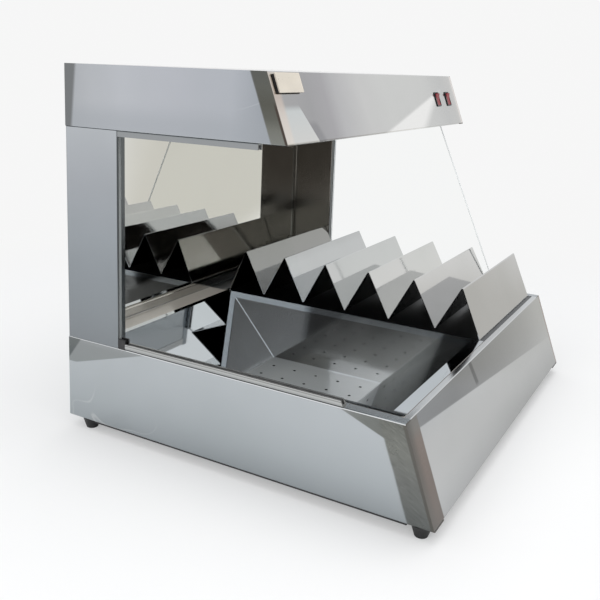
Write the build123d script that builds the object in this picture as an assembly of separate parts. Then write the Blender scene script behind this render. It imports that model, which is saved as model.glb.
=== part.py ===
from build123d import *
import os
from math import hypot

# Chip warmer: a heated base with a drop-in hopper and a folded packet rack, two box columns
# with a mirror back, and a canopy with the overhead heater and the switches.
# Millimetres. The origin is on the counter, under the middle of everything from the sloped
# front's foot to the cable gland's tip. +X is the packet rack's end, -Y is the sloped front.

os.makedirs("parts", exist_ok=True)

# ---- driving dimensions -------------------------------------------------------------------

width = 800.0                 # over the two ends
base_height = 150.0           # without the feet
base_depth_bottom = 700.0     # the front slopes out towards the counter
base_depth_top = 646.0
column_height = 374.0
column_depth = 116.0
column_width = 20.0
canopy_height = 106.0
canopy_depth_top = 400.0
canopy_depth_bottom = 440.0
foot_height = 20.0

sheet = 1.5                   # casing sheet
bend = 2.5                    # outside radius of a casing fold
pan_sheet = 1.2
pan_bend = 2.2
seam = 0.2                    # gap at a butted casing edge
seat = 0.3                    # gap under a piece that lifts out
fit = 0.1                     # radial gap of a fixed pin in its hole
running_fit = 0.06            # radial gap of a pin that turns

side_return = 20.0            # top returns of the base
front_return = 10.0
rear_return = 12.0
bottom_return = 40.0

hopper_mouth_rear = 70.0      # from the back of the base to the mouth
hopper_floor_rear = 184.0     # from the back of the base to the flat floor
hopper_floor_depth = 250.0
hem_height = 13.0               # doubled strip along the top of the hopper's ends
flange_side = 7.5
flange_rear = 12.0
flange_front = 20.5
flange_gap = 1.5              # between the flange and the base's returns
flange_corner = 6.0
deck_gap = 1.0                # between the hopper and the deck's opening
hole_radius = 3.0
hole_pitch = 50.0
hole_margin = 20.0            # least room from a hole's middle to the floor's edge

rack_gap = 2.5                # between the hopper's end and the rack
rack_side_gap = 1.5           # between the rack and the side return
rack_length = 364.0
rack_lip = 10.0               # flat lip at the foot of the rear leg
ridge_count = 6
ridge_height = 89.5
valley_lift = 7.0             # valleys above the deck's feet line
first_ridge = 104.0           # from the back of the base to the first ridge
last_ridge = 59.5             # from the front of the base's top to the last ridge
outer_leg_run = 41.0

mirror_thickness = 2.0
mirror_inset = 10.0           # back of the mirror from the back of the body
mirror_lip = 16.0             # height of the channel along its foot
mirror_side_lip = 12.0
panel_return = 10.0

glass_thickness = 6.0
gasket_wall = 1.5
channel_height = 10.0
top_channel_height = 9.5
glass_front_top = 385.0       # from the back of the body, at the canopy
glass_front_bottom = 548.0    # the same, at the base
glass_bite = 3.0              # gap from the glass to a channel's floor
block_length = 15.0
block_height = 17.0

canopy_lip = 20.0
canopy_rear_lip = 15.0
heater_from_rear = 250.0      # middle of the overhead heater
heater_mouth = 140.0
heater_crown = 90.0
heater_depth = 43.0
heater_length = 600.0
reflector_sheet = 1.0
reflector_lip = 14.0
tube_radius = 5.0
tube_spacing = 52.0
tube_drop = 22.0              # tube axis below the reflector's crown
tube_tail = 12.0
holder_radius = 8.0
guard_rod = 1.5               # radius
guard_pitch = 48.0
guard_overhang = 10.0
guard_rail_spacing = 70.0

plate_length = 72.0
plate_height = 31.0
plate_thickness = 2.0
plate_corner = 1.5
plate_pad = 3.0
pad_inset = 1.0               # pad inside the plate's edge
pad_corner = 1.0
plate_from_end = 13.0
plate_from_top = 3.0

switch_from_end = 58.0        # second switch to the right end
switch_pitch = 66.0
switch_up_slope = 60.0        # switch middle above the canopy's lower front edge
bezel_length = 32.0
bezel_width = 25.0
bezel_rim = 2.0
bezel_corner = 2.5
bezel_edge = 0.6
switch_length = 30.0
switch_width = 22.0
switch_depth = 17.0
switch_wall = 1.2
well_depth = 11.0
paddle_length = 25.4
paddle_width = 19.0
paddle_rise = 3.5
paddle_dip = 1.6
paddle_skirt = 1.0
paddle_rest = 8.0             # degrees, the upper end out
pivot_depth = 2.0
pivot_radius = 1.2
hub_radius = 2.3
stub_gap = 0.3                # from a stub's end to the outside of the well
blade_length = 8.0
blade_width = 6.3
blade_thickness = 0.8
blade_pitch = 9.0

foot_top_radius = 16.5
foot_bottom_radius = 10.0
foot_inset_side = 17.0
foot_inset_front = 25.5
foot_inset_rear = 38.0
foot_recess_radius = 6.0
foot_recess = 8.0
foot_edge = 1.5               # rounding of the foot's lower rim
seal_width = 6.0
seal_height = 3.0
seal_gap = 1.5                # from a seal's end to the foot
screw_radius = 3.0
screw_head_radius = 5.0
screw_head = 3.5
screw_edge = 1.2
screw_tail = 1.5              # past the nut
nut_height = 5.0
nut_across = 10.0

element_radius = 3.25
element_pitch = 54.0
element_legs = 4
element_inset = 31.0          # from the hopper's left end to the element's turns
element_tail = 48.0           # past the hopper's right end
element_short = 100.0         # inner turns before the element's ends
element_lift = 2.0            # element above the bottom cover
clip_cap = 0.8                # clip's metal over the element
element_bracket = 24.0
bracket_gap = 1.0             # round a ceramic end
ceramic_radius = 4.8
ceramic_length = 18.0
terminal_pin_radius = 1.6
terminal_pin = 8.0
clip_width = 14.0
clip_count = 3                # along each leg
clip_inset_left = 23.0        # from the left turns to the first clip
clip_inset_right = 10.0       # from the last clip to the inner turns
tray_inset_x = 26.5           # tray inside the hopper's ends
tray_inset_y = 7.0            # tray inside the flat floor's front and rear
tray_height = 6.5
tray_sheet = 0.8
tray_gap = 1.0                # between the tray and the hopper

cover_lap = 10.0
rail_width = 25.0
rail_height = 20.0
deck_lip = 18.0
cover_screw_pitch = 213.0
lip_screw_count = 4
lip_screw_inset = 80.0        # from the ends of the body

gland_radius = 9.0
gland_flange = 12.5
gland_taper = 2.0
gland_from_end = 100.0
gland_rise = 50.0
gland_collar = 4.0
gland_reach = 14.0            # out of the back of the base
gland_inside = 14.0
gland_bore = 5.0
gland_nut_height = 5.0
terminal_length = 52.0
terminal_depth = 24.0
terminal_height = 20.0
terminal_from_rear = 60.0
terminal_ways = 3
terminal_well = 3.2
terminal_edge = 3.3
conduit_radius = 4.0
conduit_wall = 1.0
conduit_from_rear = 50.0
conduit_tail = 22.0
grommet_wall = 2.0
grommet_lip = 1.2
grommet_flare = 1.0           # lip beyond the hole

small_screw_radius = 1.5
small_head_radius = 3.2
small_head = 1.8
small_shank = 5.0

past = 1.0                    # how far a cutter runs past a face

# ---- levels and faces worked out from them --------------------------------------------------

end = width / 2
rear = (base_depth_bottom - gland_reach) / 2
z_base = foot_height
z_deck = z_base + base_height          # top of the base's returns
z_canopy = z_deck + column_height
z_top = z_canopy + canopy_height
z_ledge = z_deck - sheet               # top of the deck plate, under the returns
z_cover = z_base + 2 * sheet           # top of the bottom cover
inner_end = end - sheet
column_inner = end - column_width
canopy_front_top = rear - canopy_depth_top
canopy_front_bottom = rear - canopy_depth_bottom
base_front_top = rear - base_depth_top
base_front_bottom = rear - base_depth_bottom
rack_left = end - side_return - rack_side_gap - rack_length
hopper_right = rack_left - rack_gap    # inside of the hopper's right end
hopper_left = -end + side_return + flange_gap + flange_side
mouth_rear = rear - hopper_mouth_rear
mouth_front = base_front_top + front_return + flange_gap + flange_front
floor_rear = rear - hopper_floor_rear
floor_front = floor_rear - hopper_floor_depth
z_element = z_cover + element_lift + element_radius
z_tray = z_element + element_radius + clip_cap
z_floor = z_tray + tray_height + tray_gap + pan_sheet
ridge_pitch = (base_depth_top - first_ridge - last_ridge) / (ridge_count - 1)
mirror_back = rear - mirror_inset
mirror_face = mirror_back - mirror_thickness
mirror_foot = z_deck + bend
glass_gap = sheet + gasket_wall
channel_width = 2 * glass_gap + glass_thickness
column_front = rear - column_depth

base_outline = [(rear, z_base), (base_front_bottom, z_base), (base_front_top, z_deck), (rear, z_deck)]
canopy_outline = [
    (rear, z_canopy), (canopy_front_bottom, z_canopy),
    (canopy_front_top, z_top), (rear, z_top),
]


# ---- helpers --------------------------------------------------------------------------------

def block(x, y, z):
    """A box between two corners; each axis is a (low, high) pair."""
    size = [high - low for low, high in (x, y, z)]
    middle = [(high + low) / 2 for low, high in (x, y, z)]
    return Pos(*middle) * Box(*size)


def prism_x(points, x):
    """A closed YZ outline carried along X from x[0] to x[1]."""
    return extrude(Plane.YZ.offset(x[0]) * Polygon(*points, align=None), x[1] - x[0], dir=(1, 0, 0))


def mitred(points, distance):
    """The points moved to the left of the path by a distance, with mitred corners."""
    moved = []
    for i, (px, py) in enumerate(points):
        normals = []
        for a, b in ((i - 1, i), (i, i + 1)):
            if a >= 0 and b < len(points):
                dx, dy = points[b][0] - points[a][0], points[b][1] - points[a][1]
                run = hypot(dx, dy)
                normals.append((-dy / run, dx / run))
        nx, ny = normals[0][0] + normals[-1][0], normals[0][1] + normals[-1][1]
        scale = distance / (nx * normals[0][0] + ny * normals[0][1])
        moved.append((px + nx * scale, py + ny * scale))
    return moved


def folded(points, thickness, radius):
    """The section of a folded sheet. One face follows the points, the sheet is on their left,
    and each fold has the given outside radius."""
    other = mitred(points, thickness)
    near_radii, far_radii = [], []
    for (ax, ay), (bx, by), (cx, cy) in zip(points, points[1:], points[2:]):
        turns_left = (bx - ax) * (cy - by) - (by - ay) * (cx - bx) > 0
        near_radii.append(radius if turns_left else radius - thickness)
        far_radii.append(radius - thickness if turns_left else radius)
    if near_radii:
        near = FilletPolyline(*points, radius=near_radii)
        far = FilletPolyline(*other, radius=far_radii)
    else:
        near, far = Line(*points), Line(*other)
    ends = [Line(points[0], other[0]), Line(points[-1], other[-1])]
    return make_face([*near.edges(), *far.edges(), *(edge for line in ends for edge in line.edges())])


def folded_x(points, x, thickness=sheet, radius=bend):
    """A folded sheet with its section in YZ, along X."""
    section = folded(points, thickness, radius)
    return extrude(Plane.YZ.offset(x[0]) * section, x[1] - x[0], dir=(1, 0, 0))


def folded_y(points, y, thickness=sheet, radius=bend):
    """A folded sheet with its section in XZ, along Y from y[0] to y[1]."""
    section = folded(points, thickness, radius)
    return extrude(Plane.XZ.offset(-y[1]) * section, y[1] - y[0], dir=(0, -1, 0))


def folded_z(points, z, thickness=sheet, radius=bend):
    """A folded sheet with its section in XY, along Z."""
    section = folded(points, thickness, radius)
    return extrude(Plane.XY.offset(z[0]) * section, z[1] - z[0], dir=(0, 0, 1))


def rod(start, axis, radius, length):
    """A round bar from a point along an axis."""
    return extrude(Plane(origin=start, z_dir=axis) * Circle(radius), length)


def mirrored(piece):
    """The same piece at the other end of the body."""
    return mirror(piece, about=Plane.YZ)


def write(node, *solids):
    """One STEP file for a node; several solids stay apart inside it."""
    shape = solids[0] if len(solids) == 1 else Compound(children=list(solids))
    export_step(shape, f"parts/{node}.step")


# ---- base casing ----------------------------------------------------------------------------

foot_places = [
    (side * (end - foot_inset_side), y)
    for y in (base_front_bottom + foot_inset_front, rear - foot_inset_rear)
    for side in (-1, 1)
]
cover_screw_x = end - bottom_return + cover_lap / 2
cover_screw_places = [
    (side * cover_screw_x, i * cover_screw_pitch) for i in (-1, 0, 1) for side in (-1, 1)
]
conduit_x = end - column_width / 2
conduit_y = rear - conduit_from_rear
grommet_radius = conduit_radius + grommet_wall


def foot_holes():
    """The holes of the foot screws through the bottom returns."""
    return [rod((x, y, z_base - seat), (0, 0, 1), screw_radius + fit, sheet + 2 * seat)
            for x, y in foot_places]


def conduit_hole(z):
    """A grommet's hole through a sheet whose underside is at z."""
    return rod((conduit_x, conduit_y, z - seat), (0, 0, 1), grommet_radius, sheet + 2 * seat)


def conduit_notch(z):
    """The wider notch that clears the grommet in the edge of a plate whose underside is at z."""
    radius = grommet_radius + grommet_flare
    return rod((conduit_x, conduit_y, z - seat), (0, 0, 1), radius, sheet + 2 * seat)


def base_side():
    """Left end of the base: a wall with a narrow top return and a wide bottom return."""
    section = [(-end + side_return, z_deck), (-end, z_deck), (-end, z_base), (-end + bottom_return, z_base)]
    side = folded_y(section, (base_front_bottom, rear))
    return side & prism_x(base_outline, (-end, 0))


def return_notches():
    """Where the ends' returns run through, at the corners of the front and rear panels."""
    y = (base_front_bottom - past, rear + past)
    notches = []
    for low, high in ((-end, -end + side_return), (end - side_return, end)):
        notches.append(block((low, high), y, (z_ledge, z_deck + past)))
    for low, high in ((-end, -end + bend), (end - bend, end)):
        notches.append(block((low, high), y, (z_deck - bend, z_deck + past)))
        notches.append(block((low, high), y, (z_base - past, z_base + bend)))
    for low, high in ((-end, -end + bottom_return), (end - bottom_return, end)):
        notches.append(block((low, high), y, (z_base - past, z_base + sheet)))
    return notches


def base_front():
    """The sloped front panel, let in between the two ends."""
    section = [
        (base_front_top + front_return, z_deck), (base_front_top, z_deck),
        (base_front_bottom, z_base), (base_front_bottom + bottom_return, z_base),
    ]
    return folded_x(section, (-inner_end, inner_end)) - return_notches()


def base_rear():
    """The vertical rear panel, with the hole of the cable gland."""
    section = [
        (rear - bottom_return, z_base), (rear, z_base), (rear, z_deck), (rear - rear_return, z_deck),
    ]
    panel = folded_x(section, (-inner_end, inner_end)) - return_notches()
    hole = rod((end - gland_from_end, rear + seat, z_base + gland_rise), (0, -1, 0),
               gland_radius, sheet + 2 * seat)
    return panel - hole


deck_opening_x = (hopper_left - pan_sheet - deck_gap, rack_left - seam)
deck_opening_y = (mouth_front - pan_sheet - deck_gap, mouth_rear + pan_sheet + deck_gap)
deck_edge = inner_end - bend


def deck_plate():
    """The plate under the returns: the hopper's ledge on the left, the rack's floor on the right."""
    z = (z_ledge - sheet, z_ledge)
    plate = block((-deck_edge, deck_edge), (base_front_top + bend, rear - sheet - bend), z)
    opening = block(deck_opening_x, deck_opening_y, (z[0] - past, z[1] + past))
    lip = block((deck_opening_x[1], deck_opening_x[1] + sheet), deck_opening_y, (z[1] - deck_lip, z[0]))
    return plate - opening + lip


def deck_rail():
    """Channel under the deck beside the hopper, from the front panel to the rear panel."""
    left = deck_opening_x[1] + sheet + seam
    right = left + rail_width
    top = z_ledge - sheet
    foot = top - rail_height
    section = [(right, foot), (right, top), (left, top), (left, foot)]
    return folded_y(section, (base_front_top + sheet, rear - sheet))


def cover_holes():
    """The holes of the bottom cover's screws, through the returns and the cover."""
    return [rod((x, y, z_base - seat), (0, 0, 1), small_screw_radius + fit, 2 * sheet + 2 * seat)
            for x, y in cover_screw_places]


def bottom_cover():
    """The plate that closes the base from below, on top of the bottom returns."""
    x = end - bottom_return + cover_lap
    front = base_front_bottom + bottom_return - cover_lap
    back = rear - bottom_return + cover_lap
    return block((-x, x), (front, back), (z_base + sheet, z_cover)) - cover_holes()


left_side = base_side()
right_side = mirrored(left_side)
left_side -= foot_holes() + cover_holes()
right_side -= foot_holes() + cover_holes()
right_side -= conduit_hole(z_ledge)

write("base_left_side", left_side)
write("base_right_side", right_side)
write("base_front_panel", base_front())
write("base_rear_panel", base_rear())
write("deck_plate", deck_plate() - conduit_notch(z_ledge - sheet))
write("deck_rail", deck_rail())
write("bottom_cover", bottom_cover())


# ---- feet -----------------------------------------------------------------------------------

def foot():
    """A tapered rubber foot with a recess for its screw, about its own axis."""
    body = Pos(0, 0, foot_height / 2) * Cone(foot_bottom_radius, foot_top_radius, foot_height)
    body = fillet(body.edges().sort_by(Axis.Z)[0], foot_edge)
    recess = rod((0, 0, 0), (0, 0, 1), foot_recess_radius, foot_recess)
    bore = rod((0, 0, 0), (0, 0, 1), screw_radius + fit, foot_height)
    return body - recess - bore


def foot_screw():
    """Pan-head screw from the foot's recess up through the return and its nut."""
    head = rod((0, 0, foot_recess - screw_head), (0, 0, 1), screw_head_radius, screw_head)
    head = fillet(head.edges().sort_by(Axis.Z)[0], screw_edge)
    shank_top = foot_height + sheet + nut_height + screw_tail
    return head + rod((0, 0, foot_recess), (0, 0, 1), screw_radius, shank_top - foot_recess)


def foot_nut():
    """Hexagon nut on the bottom return."""
    outline = RegularPolygon(nut_across / 2, 6, major_radius=False)
    nut = extrude(Plane.XY.offset(foot_height + sheet) * outline, nut_height)
    return nut - rod((0, 0, foot_height), (0, 0, 1), screw_radius + fit / 2, nut_height + 2 * sheet)


def edge_seal():
    """Black strip under the left side's bottom return, from foot to foot."""
    x = (-end + bend, -end + bend + seal_width)
    front_y, rear_y = base_front_bottom + foot_inset_front, rear - foot_inset_rear
    reach = foot_top_radius + seal_gap
    return block(x, (front_y + reach, rear_y - reach), (z_base - seal_height, z_base))


foot_names = ("foot_front_left", "foot_front_right", "foot_rear_left", "foot_rear_right")
for name, (x, y) in zip(foot_names, foot_places):
    write(name, Pos(x, y, 0) * foot())
write("base_edge_seals", edge_seal(), mirrored(edge_seal()))
write("foot_screws", *[Pos(x, y, 0) * foot_screw() for x, y in foot_places])
write("foot_nuts", *[Pos(x, y, 0) * foot_nut() for x, y in foot_places])


# ---- hopper pan -----------------------------------------------------------------------------

hopper_section = [
    (mouth_rear, z_deck), (floor_rear, z_floor), (floor_front, z_floor), (mouth_front, z_deck),
]


def hopper_flange():
    """The flat rim that lies on the deck on three sides; the rack's side has none."""
    x = (hopper_left - flange_side, hopper_right + pan_sheet)
    y = (mouth_front - flange_front, mouth_rear + flange_rear)
    rim = block(x, y, (z_deck - pan_sheet, z_deck))
    outer_left = rim.edges().filter_by(Axis.Z).group_by(Axis.X)[0]
    rim = fillet(outer_left, flange_corner)
    return rim - block((hopper_left, hopper_right), (mouth_front, mouth_rear), (z_floor, z_deck + past))


def hopper_hem(x):
    """The strip folded down inside an upright end, between the two slopes."""
    strip = block(x, (mouth_front, mouth_rear), (z_deck - hem_height, z_deck))
    return strip & prism_x(hopper_section, x)


def hopper_pan():
    """The trough: upright ends with a hem, a sloped front and rear, and a pierced floor."""
    x = (hopper_left, hopper_right)
    outside = [hopper_section[0], *mitred(hopper_section, pan_sheet), hopper_section[-1]]
    outer = prism_x(outside, (x[0] - pan_sheet, x[1] + pan_sheet))
    inner = prism_x([(mouth_rear, z_deck + past), *hopper_section, (mouth_front, z_deck + past)], x)
    hems = hopper_hem((x[0], x[0] + pan_sheet)) + hopper_hem((x[1] - pan_sheet, x[1]))
    pan = outer - inner + hopper_flange() + hems
    columns = int((hopper_right - hopper_left - 2 * hole_margin) // hole_pitch) + 1
    rows = int((hopper_floor_depth - 2 * hole_margin) // hole_pitch) + 1
    middle = Pos((hopper_left + hopper_right) / 2, (floor_rear + floor_front) / 2, z_floor)
    grid = GridLocations(hole_pitch, hole_pitch, columns, rows)
    return pan - middle * grid * Cylinder(hole_radius, 4 * pan_sheet)


write("hopper_pan", hopper_pan())


# ---- packet rack ----------------------------------------------------------------------------

z_rack_foot = z_ledge + seat
z_valley = z_rack_foot + valley_lift
z_ridge = z_valley + ridge_height
ridges = [rear - first_ridge - i * ridge_pitch for i in range(ridge_count)]


def rack_path():
    """Upper face of the zigzag, from the lip behind the rear leg over the ridges to the front leg.

    The front leg runs on below the foot line, so that it can be cut level.
    """
    heel = (ridges[0] + outer_leg_run, z_rack_foot + pan_sheet)
    path = [(heel[0] + rack_lip, heel[1]), heel]
    for y in ridges:
        path += [(y, z_ridge), (y - ridge_pitch / 2, z_valley)]
    slope = outer_leg_run / (z_ridge - z_rack_foot)
    path[-1] = (ridges[-1] - outer_leg_run - 2 * pan_sheet * slope, z_rack_foot - 2 * pan_sheet)
    return path


def packet_rack():
    """One sheet folded into ridges; it stands on the rear leg's lip and the front leg's edge."""
    x = (rack_left, rack_left + rack_length)
    rack = folded_x(rack_path(), x, pan_sheet, pan_bend)
    return rack - block((x[0] - past, x[1] + past), (-rear, rear), (z_base, z_rack_foot))


write("packet_rack", packet_rack())


# ---- columns and mirror ---------------------------------------------------------------------

def column():
    """A closed box section between the base and the canopy, at the left."""
    middle = Pos(-end + column_width / 2, rear - column_depth / 2)
    skin = RectangleRounded(column_width, column_depth, bend)
    core = RectangleRounded(column_width - 2 * sheet, column_depth - 2 * sheet, bend - sheet)
    return extrude(Plane.XY.offset(z_deck) * middle * (skin - core), column_height)


def rear_panel():
    """The back skin between the columns, folded forward at both sides to carry the mirror."""
    x = column_inner - seam
    section = [(x, rear - panel_return), (x, rear), (-x, rear), (-x, rear - panel_return)]
    return folded_z(section, (z_deck, z_canopy))


def mirror_panel():
    """The polished plate, standing in its bottom channel."""
    x = column_inner - bend - seam
    return block((-x, x), (mirror_face, mirror_back), (mirror_foot, z_canopy - seam))


def mirror_bottom_channel():
    """Angle along the foot of the mirror, its lip in front."""
    section = [
        (mirror_back, z_deck), (mirror_face - sheet, z_deck), (mirror_face - sheet, z_deck + mirror_lip),
    ]
    return folded_x(list(reversed(section)), (-column_inner + seam, column_inner - seam))


def mirror_side_channel():
    """Angle up the left edge of the mirror, its lip in front."""
    section = [
        (-column_inner, mirror_back), (-column_inner, mirror_face - sheet),
        (-column_inner + mirror_side_lip, mirror_face - sheet),
    ]
    return folded_z(section, (z_deck + mirror_lip, z_canopy - seam))


write("left_column", column())
write("right_column", mirrored(column()))
write("rear_panel", rear_panel())
write("mirror_panel", mirror_panel())
write("mirror_bottom_channel", mirror_bottom_channel())
write("mirror_side_channels", mirror_side_channel(), mirrored(mirror_side_channel()))


# ---- canopy ---------------------------------------------------------------------------------

class Slope:
    """The canopy's sloped front, as a working plane: local x along the body, local y up the slope."""

    run = canopy_front_top - canopy_front_bottom
    length = hypot(run, canopy_height)
    normal = (0, -canopy_height / length, run / length)

    @classmethod
    def plane(cls, x, up):
        """The plane at a place on the outside face, its z pointing out of the canopy."""
        y = canopy_front_bottom + cls.run * up / cls.length
        z = z_canopy + canopy_height * up / cls.length
        return Plane(origin=(x, y, z), x_dir=(1, 0, 0), z_dir=cls.normal)


switch_places = [end - switch_from_end - switch_pitch, end - switch_from_end]


def canopy_shell():
    """Top and sloped front in one sheet, with a lip under the front and one down the back."""
    section = [
        (rear, z_top - canopy_rear_lip), (rear, z_top), (canopy_front_top, z_top),
        (canopy_front_bottom, z_canopy), (canopy_front_bottom + canopy_lip, z_canopy),
    ]
    shell = folded_x(section, (-inner_end, inner_end))
    for low, high in ((-end, -column_inner), (column_inner, end)):
        shell -= block((low, high), (-rear, rear), (z_canopy - past, z_canopy + sheet))
    return shell


def canopy_end():
    """Left end of the canopy with its bottom return on the column."""
    section = [(-end, z_top), (-end, z_canopy), (-end + column_width, z_canopy)]
    side = folded_y(section, (canopy_front_bottom, rear))
    return side & prism_x(canopy_outline, (-end, 0))


def switch_hole(x):
    """The cut-out of one switch through the sloped front."""
    opening = Rectangle(switch_width, switch_length)
    return extrude(Slope.plane(x, switch_up_slope) * opening, 3 * sheet, both=True)


underside = (z_canopy + sheet, z_canopy + 2 * sheet)
heater_y = rear - heater_from_rear


def canopy_underside():
    """Liner on top of the returns, open under the reflector."""
    front = canopy_front_bottom + sheet + bend
    plate = block((-deck_edge, deck_edge), (front, rear - 2 * sheet - seam), underside)
    half = heater_mouth / 2
    mouth = block((-heater_length / 2, heater_length / 2), (heater_y - half, heater_y + half),
                  (underside[0] - past, underside[1] + past))
    return plate - mouth - conduit_notch(underside[0])


lip_screw_pitch = (width - 2 * lip_screw_inset) / (lip_screw_count - 1)
lip_screw_places = [
    (-end + lip_screw_inset + i * lip_screw_pitch, z_top - canopy_rear_lip / 2)
    for i in range(lip_screw_count)
]


def lip_holes():
    """The holes of the rear cover's screws, through the shell's lip and the cover."""
    return [rod((x, rear + seat, z), (0, -1, 0), small_screw_radius + fit, 2 * sheet + 2 * seat)
            for x, z in lip_screw_places]


def canopy_rear_cover():
    """The plate that closes the canopy at the back, inside the shell's lip."""
    plate = block((-deck_edge, deck_edge), (rear - 2 * sheet, rear - sheet), (underside[0], z_top - bend))
    return plate - lip_holes()


canopy_left = canopy_end()
canopy_right = mirrored(canopy_left) - conduit_hole(z_canopy)
shell = canopy_shell() - lip_holes()
for x in switch_places:
    shell -= switch_hole(x)

write("canopy_shell", shell)
write("canopy_left_end", canopy_left)
write("canopy_right_end", canopy_right)
write("canopy_underside", canopy_underside())
write("canopy_rear_cover", canopy_rear_cover())


# ---- overhead heater ------------------------------------------------------------------------

z_mouth = underside[1]
z_crown = z_mouth + heater_depth
z_tube = z_crown - tube_drop
tube_places = [heater_y + side * tube_spacing / 2 for side in (-1, 1)]
heater_half = heater_length / 2


def reflector():
    """Folded trough on the underside's edge, closed by two end plates that the tubes pass."""
    half_mouth, half_crown = heater_mouth / 2, heater_crown / 2
    section = [
        (heater_y - half_mouth - reflector_lip, z_mouth), (heater_y - half_mouth, z_mouth),
        (heater_y - half_crown, z_crown), (heater_y + half_crown, z_crown),
        (heater_y + half_mouth, z_mouth), (heater_y + half_mouth + reflector_lip, z_mouth),
    ]
    trough = folded_x(section, (-heater_half, heater_half), reflector_sheet, 2 * reflector_sheet)
    plate = prism_x(section[1:5], (-heater_half, -heater_half + reflector_sheet))
    ends = plate + mirrored(plate)
    for y in tube_places:
        ends -= rod((-end, y, z_tube), (1, 0, 0), tube_radius + fit, width)
    return trough + ends


def holder(y):
    """Ceramic holder outside the reflector's left end, with a blind seat for the tube."""
    start = (-heater_half, y, z_tube)
    body = rod(start, (-1, 0, 0), holder_radius, 2 * tube_tail)
    return body - rod(start, (-1, 0, 0), tube_radius + fit, tube_tail)


def tube(y):
    """One quartz tube, from holder to holder."""
    length = heater_length + 2 * tube_tail
    return rod((-length / 2, y, z_tube), (1, 0, 0), tube_radius, length)


guard_count = int(heater_length // guard_pitch) + 1
guard_half = (guard_count - 1) * guard_pitch / 2


def guard_cross_rods():
    """The guard's short rods, held against the liner across the reflector's mouth."""
    half = heater_mouth / 2 + guard_overhang
    start = (heater_y - half, underside[0] - guard_rod)
    return [rod((i * guard_pitch - guard_half, *start), (0, 1, 0), guard_rod, 2 * half)
            for i in range(guard_count)]


def guard_rails():
    """The two long rods on which the short ones are spot welded."""
    reach = guard_half + guard_overhang
    z = underside[0] - 3 * guard_rod
    return [rod((-reach, heater_y + side * guard_rail_spacing / 2, z), (1, 0, 0), guard_rod, 2 * reach)
            for side in (-1, 1)]


holders = [holder(y) for y in tube_places]
write("heater_reflector", reflector())
write("quartz_tubes", *[tube(y) for y in tube_places])
write("tube_holders", *holders, *[mirrored(piece) for piece in holders])
write("heater_guard", *guard_cross_rods())
write("heater_guard_rails", *guard_rails())


# ---- side glass -----------------------------------------------------------------------------

def glass_edge(z):
    """Y of the glass's sloped front edge at a height."""
    share = (z - z_deck) / (z_canopy - z_deck)
    return rear - glass_front_bottom + (glass_front_bottom - glass_front_top) * share


glass_foot = z_deck + glass_bite
glass_head = z_canopy - glass_bite
glass_rear = column_front - seat
bottom_reach = (glass_edge(z_deck), glass_rear - block_length)
top_reach = (glass_edge(z_canopy - top_channel_height), glass_rear)


def side_glass():
    """Left pane, its front edge sloped from the canopy to the base."""
    outline = [
        (glass_rear, glass_foot), (glass_edge(glass_foot), glass_foot),
        (glass_edge(glass_head), glass_head), (glass_rear, glass_head),
    ]
    x = -end + glass_gap
    return prism_x(outline, (x, x + glass_thickness))


def behind_edge(piece):
    """The piece cut off along the panes' sloped front edge."""
    low, high = z_deck - past, z_canopy + past
    outline = [(rear, low), (glass_edge(low), low), (glass_edge(high), high), (rear, high)]
    return piece & prism_x(outline, (-end - past, 0))


def u_section(z_floor_of_channel, up, wall, height, inset):
    """Path of a U channel's outside; up is 1 when it opens upwards, -1 when it opens down."""
    left, right = -end + inset, -end + channel_width - inset
    z_open = z_floor_of_channel + up * height
    path = [(left, z_open), (left, z_floor_of_channel), (right, z_floor_of_channel), (right, z_open)]
    return path if up > 0 else list(reversed(path))


def bottom_channel():
    """Channel on the base's side return that holds the left pane's foot."""
    return behind_edge(folded_y(u_section(z_deck, 1, sheet, channel_height, 0), bottom_reach, sheet, bend))


def top_channel():
    """Channel under the canopy's return that holds the left pane's head."""
    return folded_y(u_section(z_canopy, -1, sheet, top_channel_height, 0), top_reach, sheet, bend)


def gasket(z, up, height, reach):
    """Rubber lining between a channel and the glass."""
    path = u_section(z + up * sheet, up, gasket_wall, height - sheet, sheet)
    return folded_y(path, reach, gasket_wall, gasket_wall)


def corner_block():
    """Rubber block at the foot of the column, slotted for the glass."""
    x = (-end, -end + channel_width)
    body = block(x, (glass_rear - block_length, glass_rear), (z_deck, z_deck + block_height))
    x = -end + glass_gap
    slot = block((x, x + glass_thickness), (glass_rear - 2 * block_length, glass_rear + past),
                 (glass_foot, z_deck + 2 * block_height))
    return body - slot


gaskets = [
    behind_edge(gasket(z_deck, 1, channel_height, bottom_reach)),
    gasket(z_canopy, -1, top_channel_height, top_reach),
]
write("left_glass", side_glass())
write("right_glass", mirrored(side_glass()))
write("bottom_glass_channels", bottom_channel(), mirrored(bottom_channel()))
write("top_glass_channels", top_channel(), mirrored(top_channel()))
write("glass_gaskets", *gaskets, *[mirrored(piece) for piece in gaskets])
write("glass_corner_blocks", corner_block(), mirrored(corner_block()))


# ---- nameplate and switches -----------------------------------------------------------------

def plate_layer(thickness, lift, inset, corner):
    """One layer of the nameplate, lifted off the sloped front."""
    x = -end + plate_from_end + plate_length / 2
    up = Slope.length - plate_from_top - plate_height / 2
    outline = RectangleRounded(plate_length - 2 * inset, plate_height - 2 * inset, corner)
    return extrude(Slope.plane(x, up).offset(lift) * outline, thickness)


write("nameplate_pad", plate_layer(plate_pad, 0, pad_inset, pad_corner))
write("nameplate", plate_layer(plate_thickness, plate_pad, 0, plate_corner))


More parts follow.
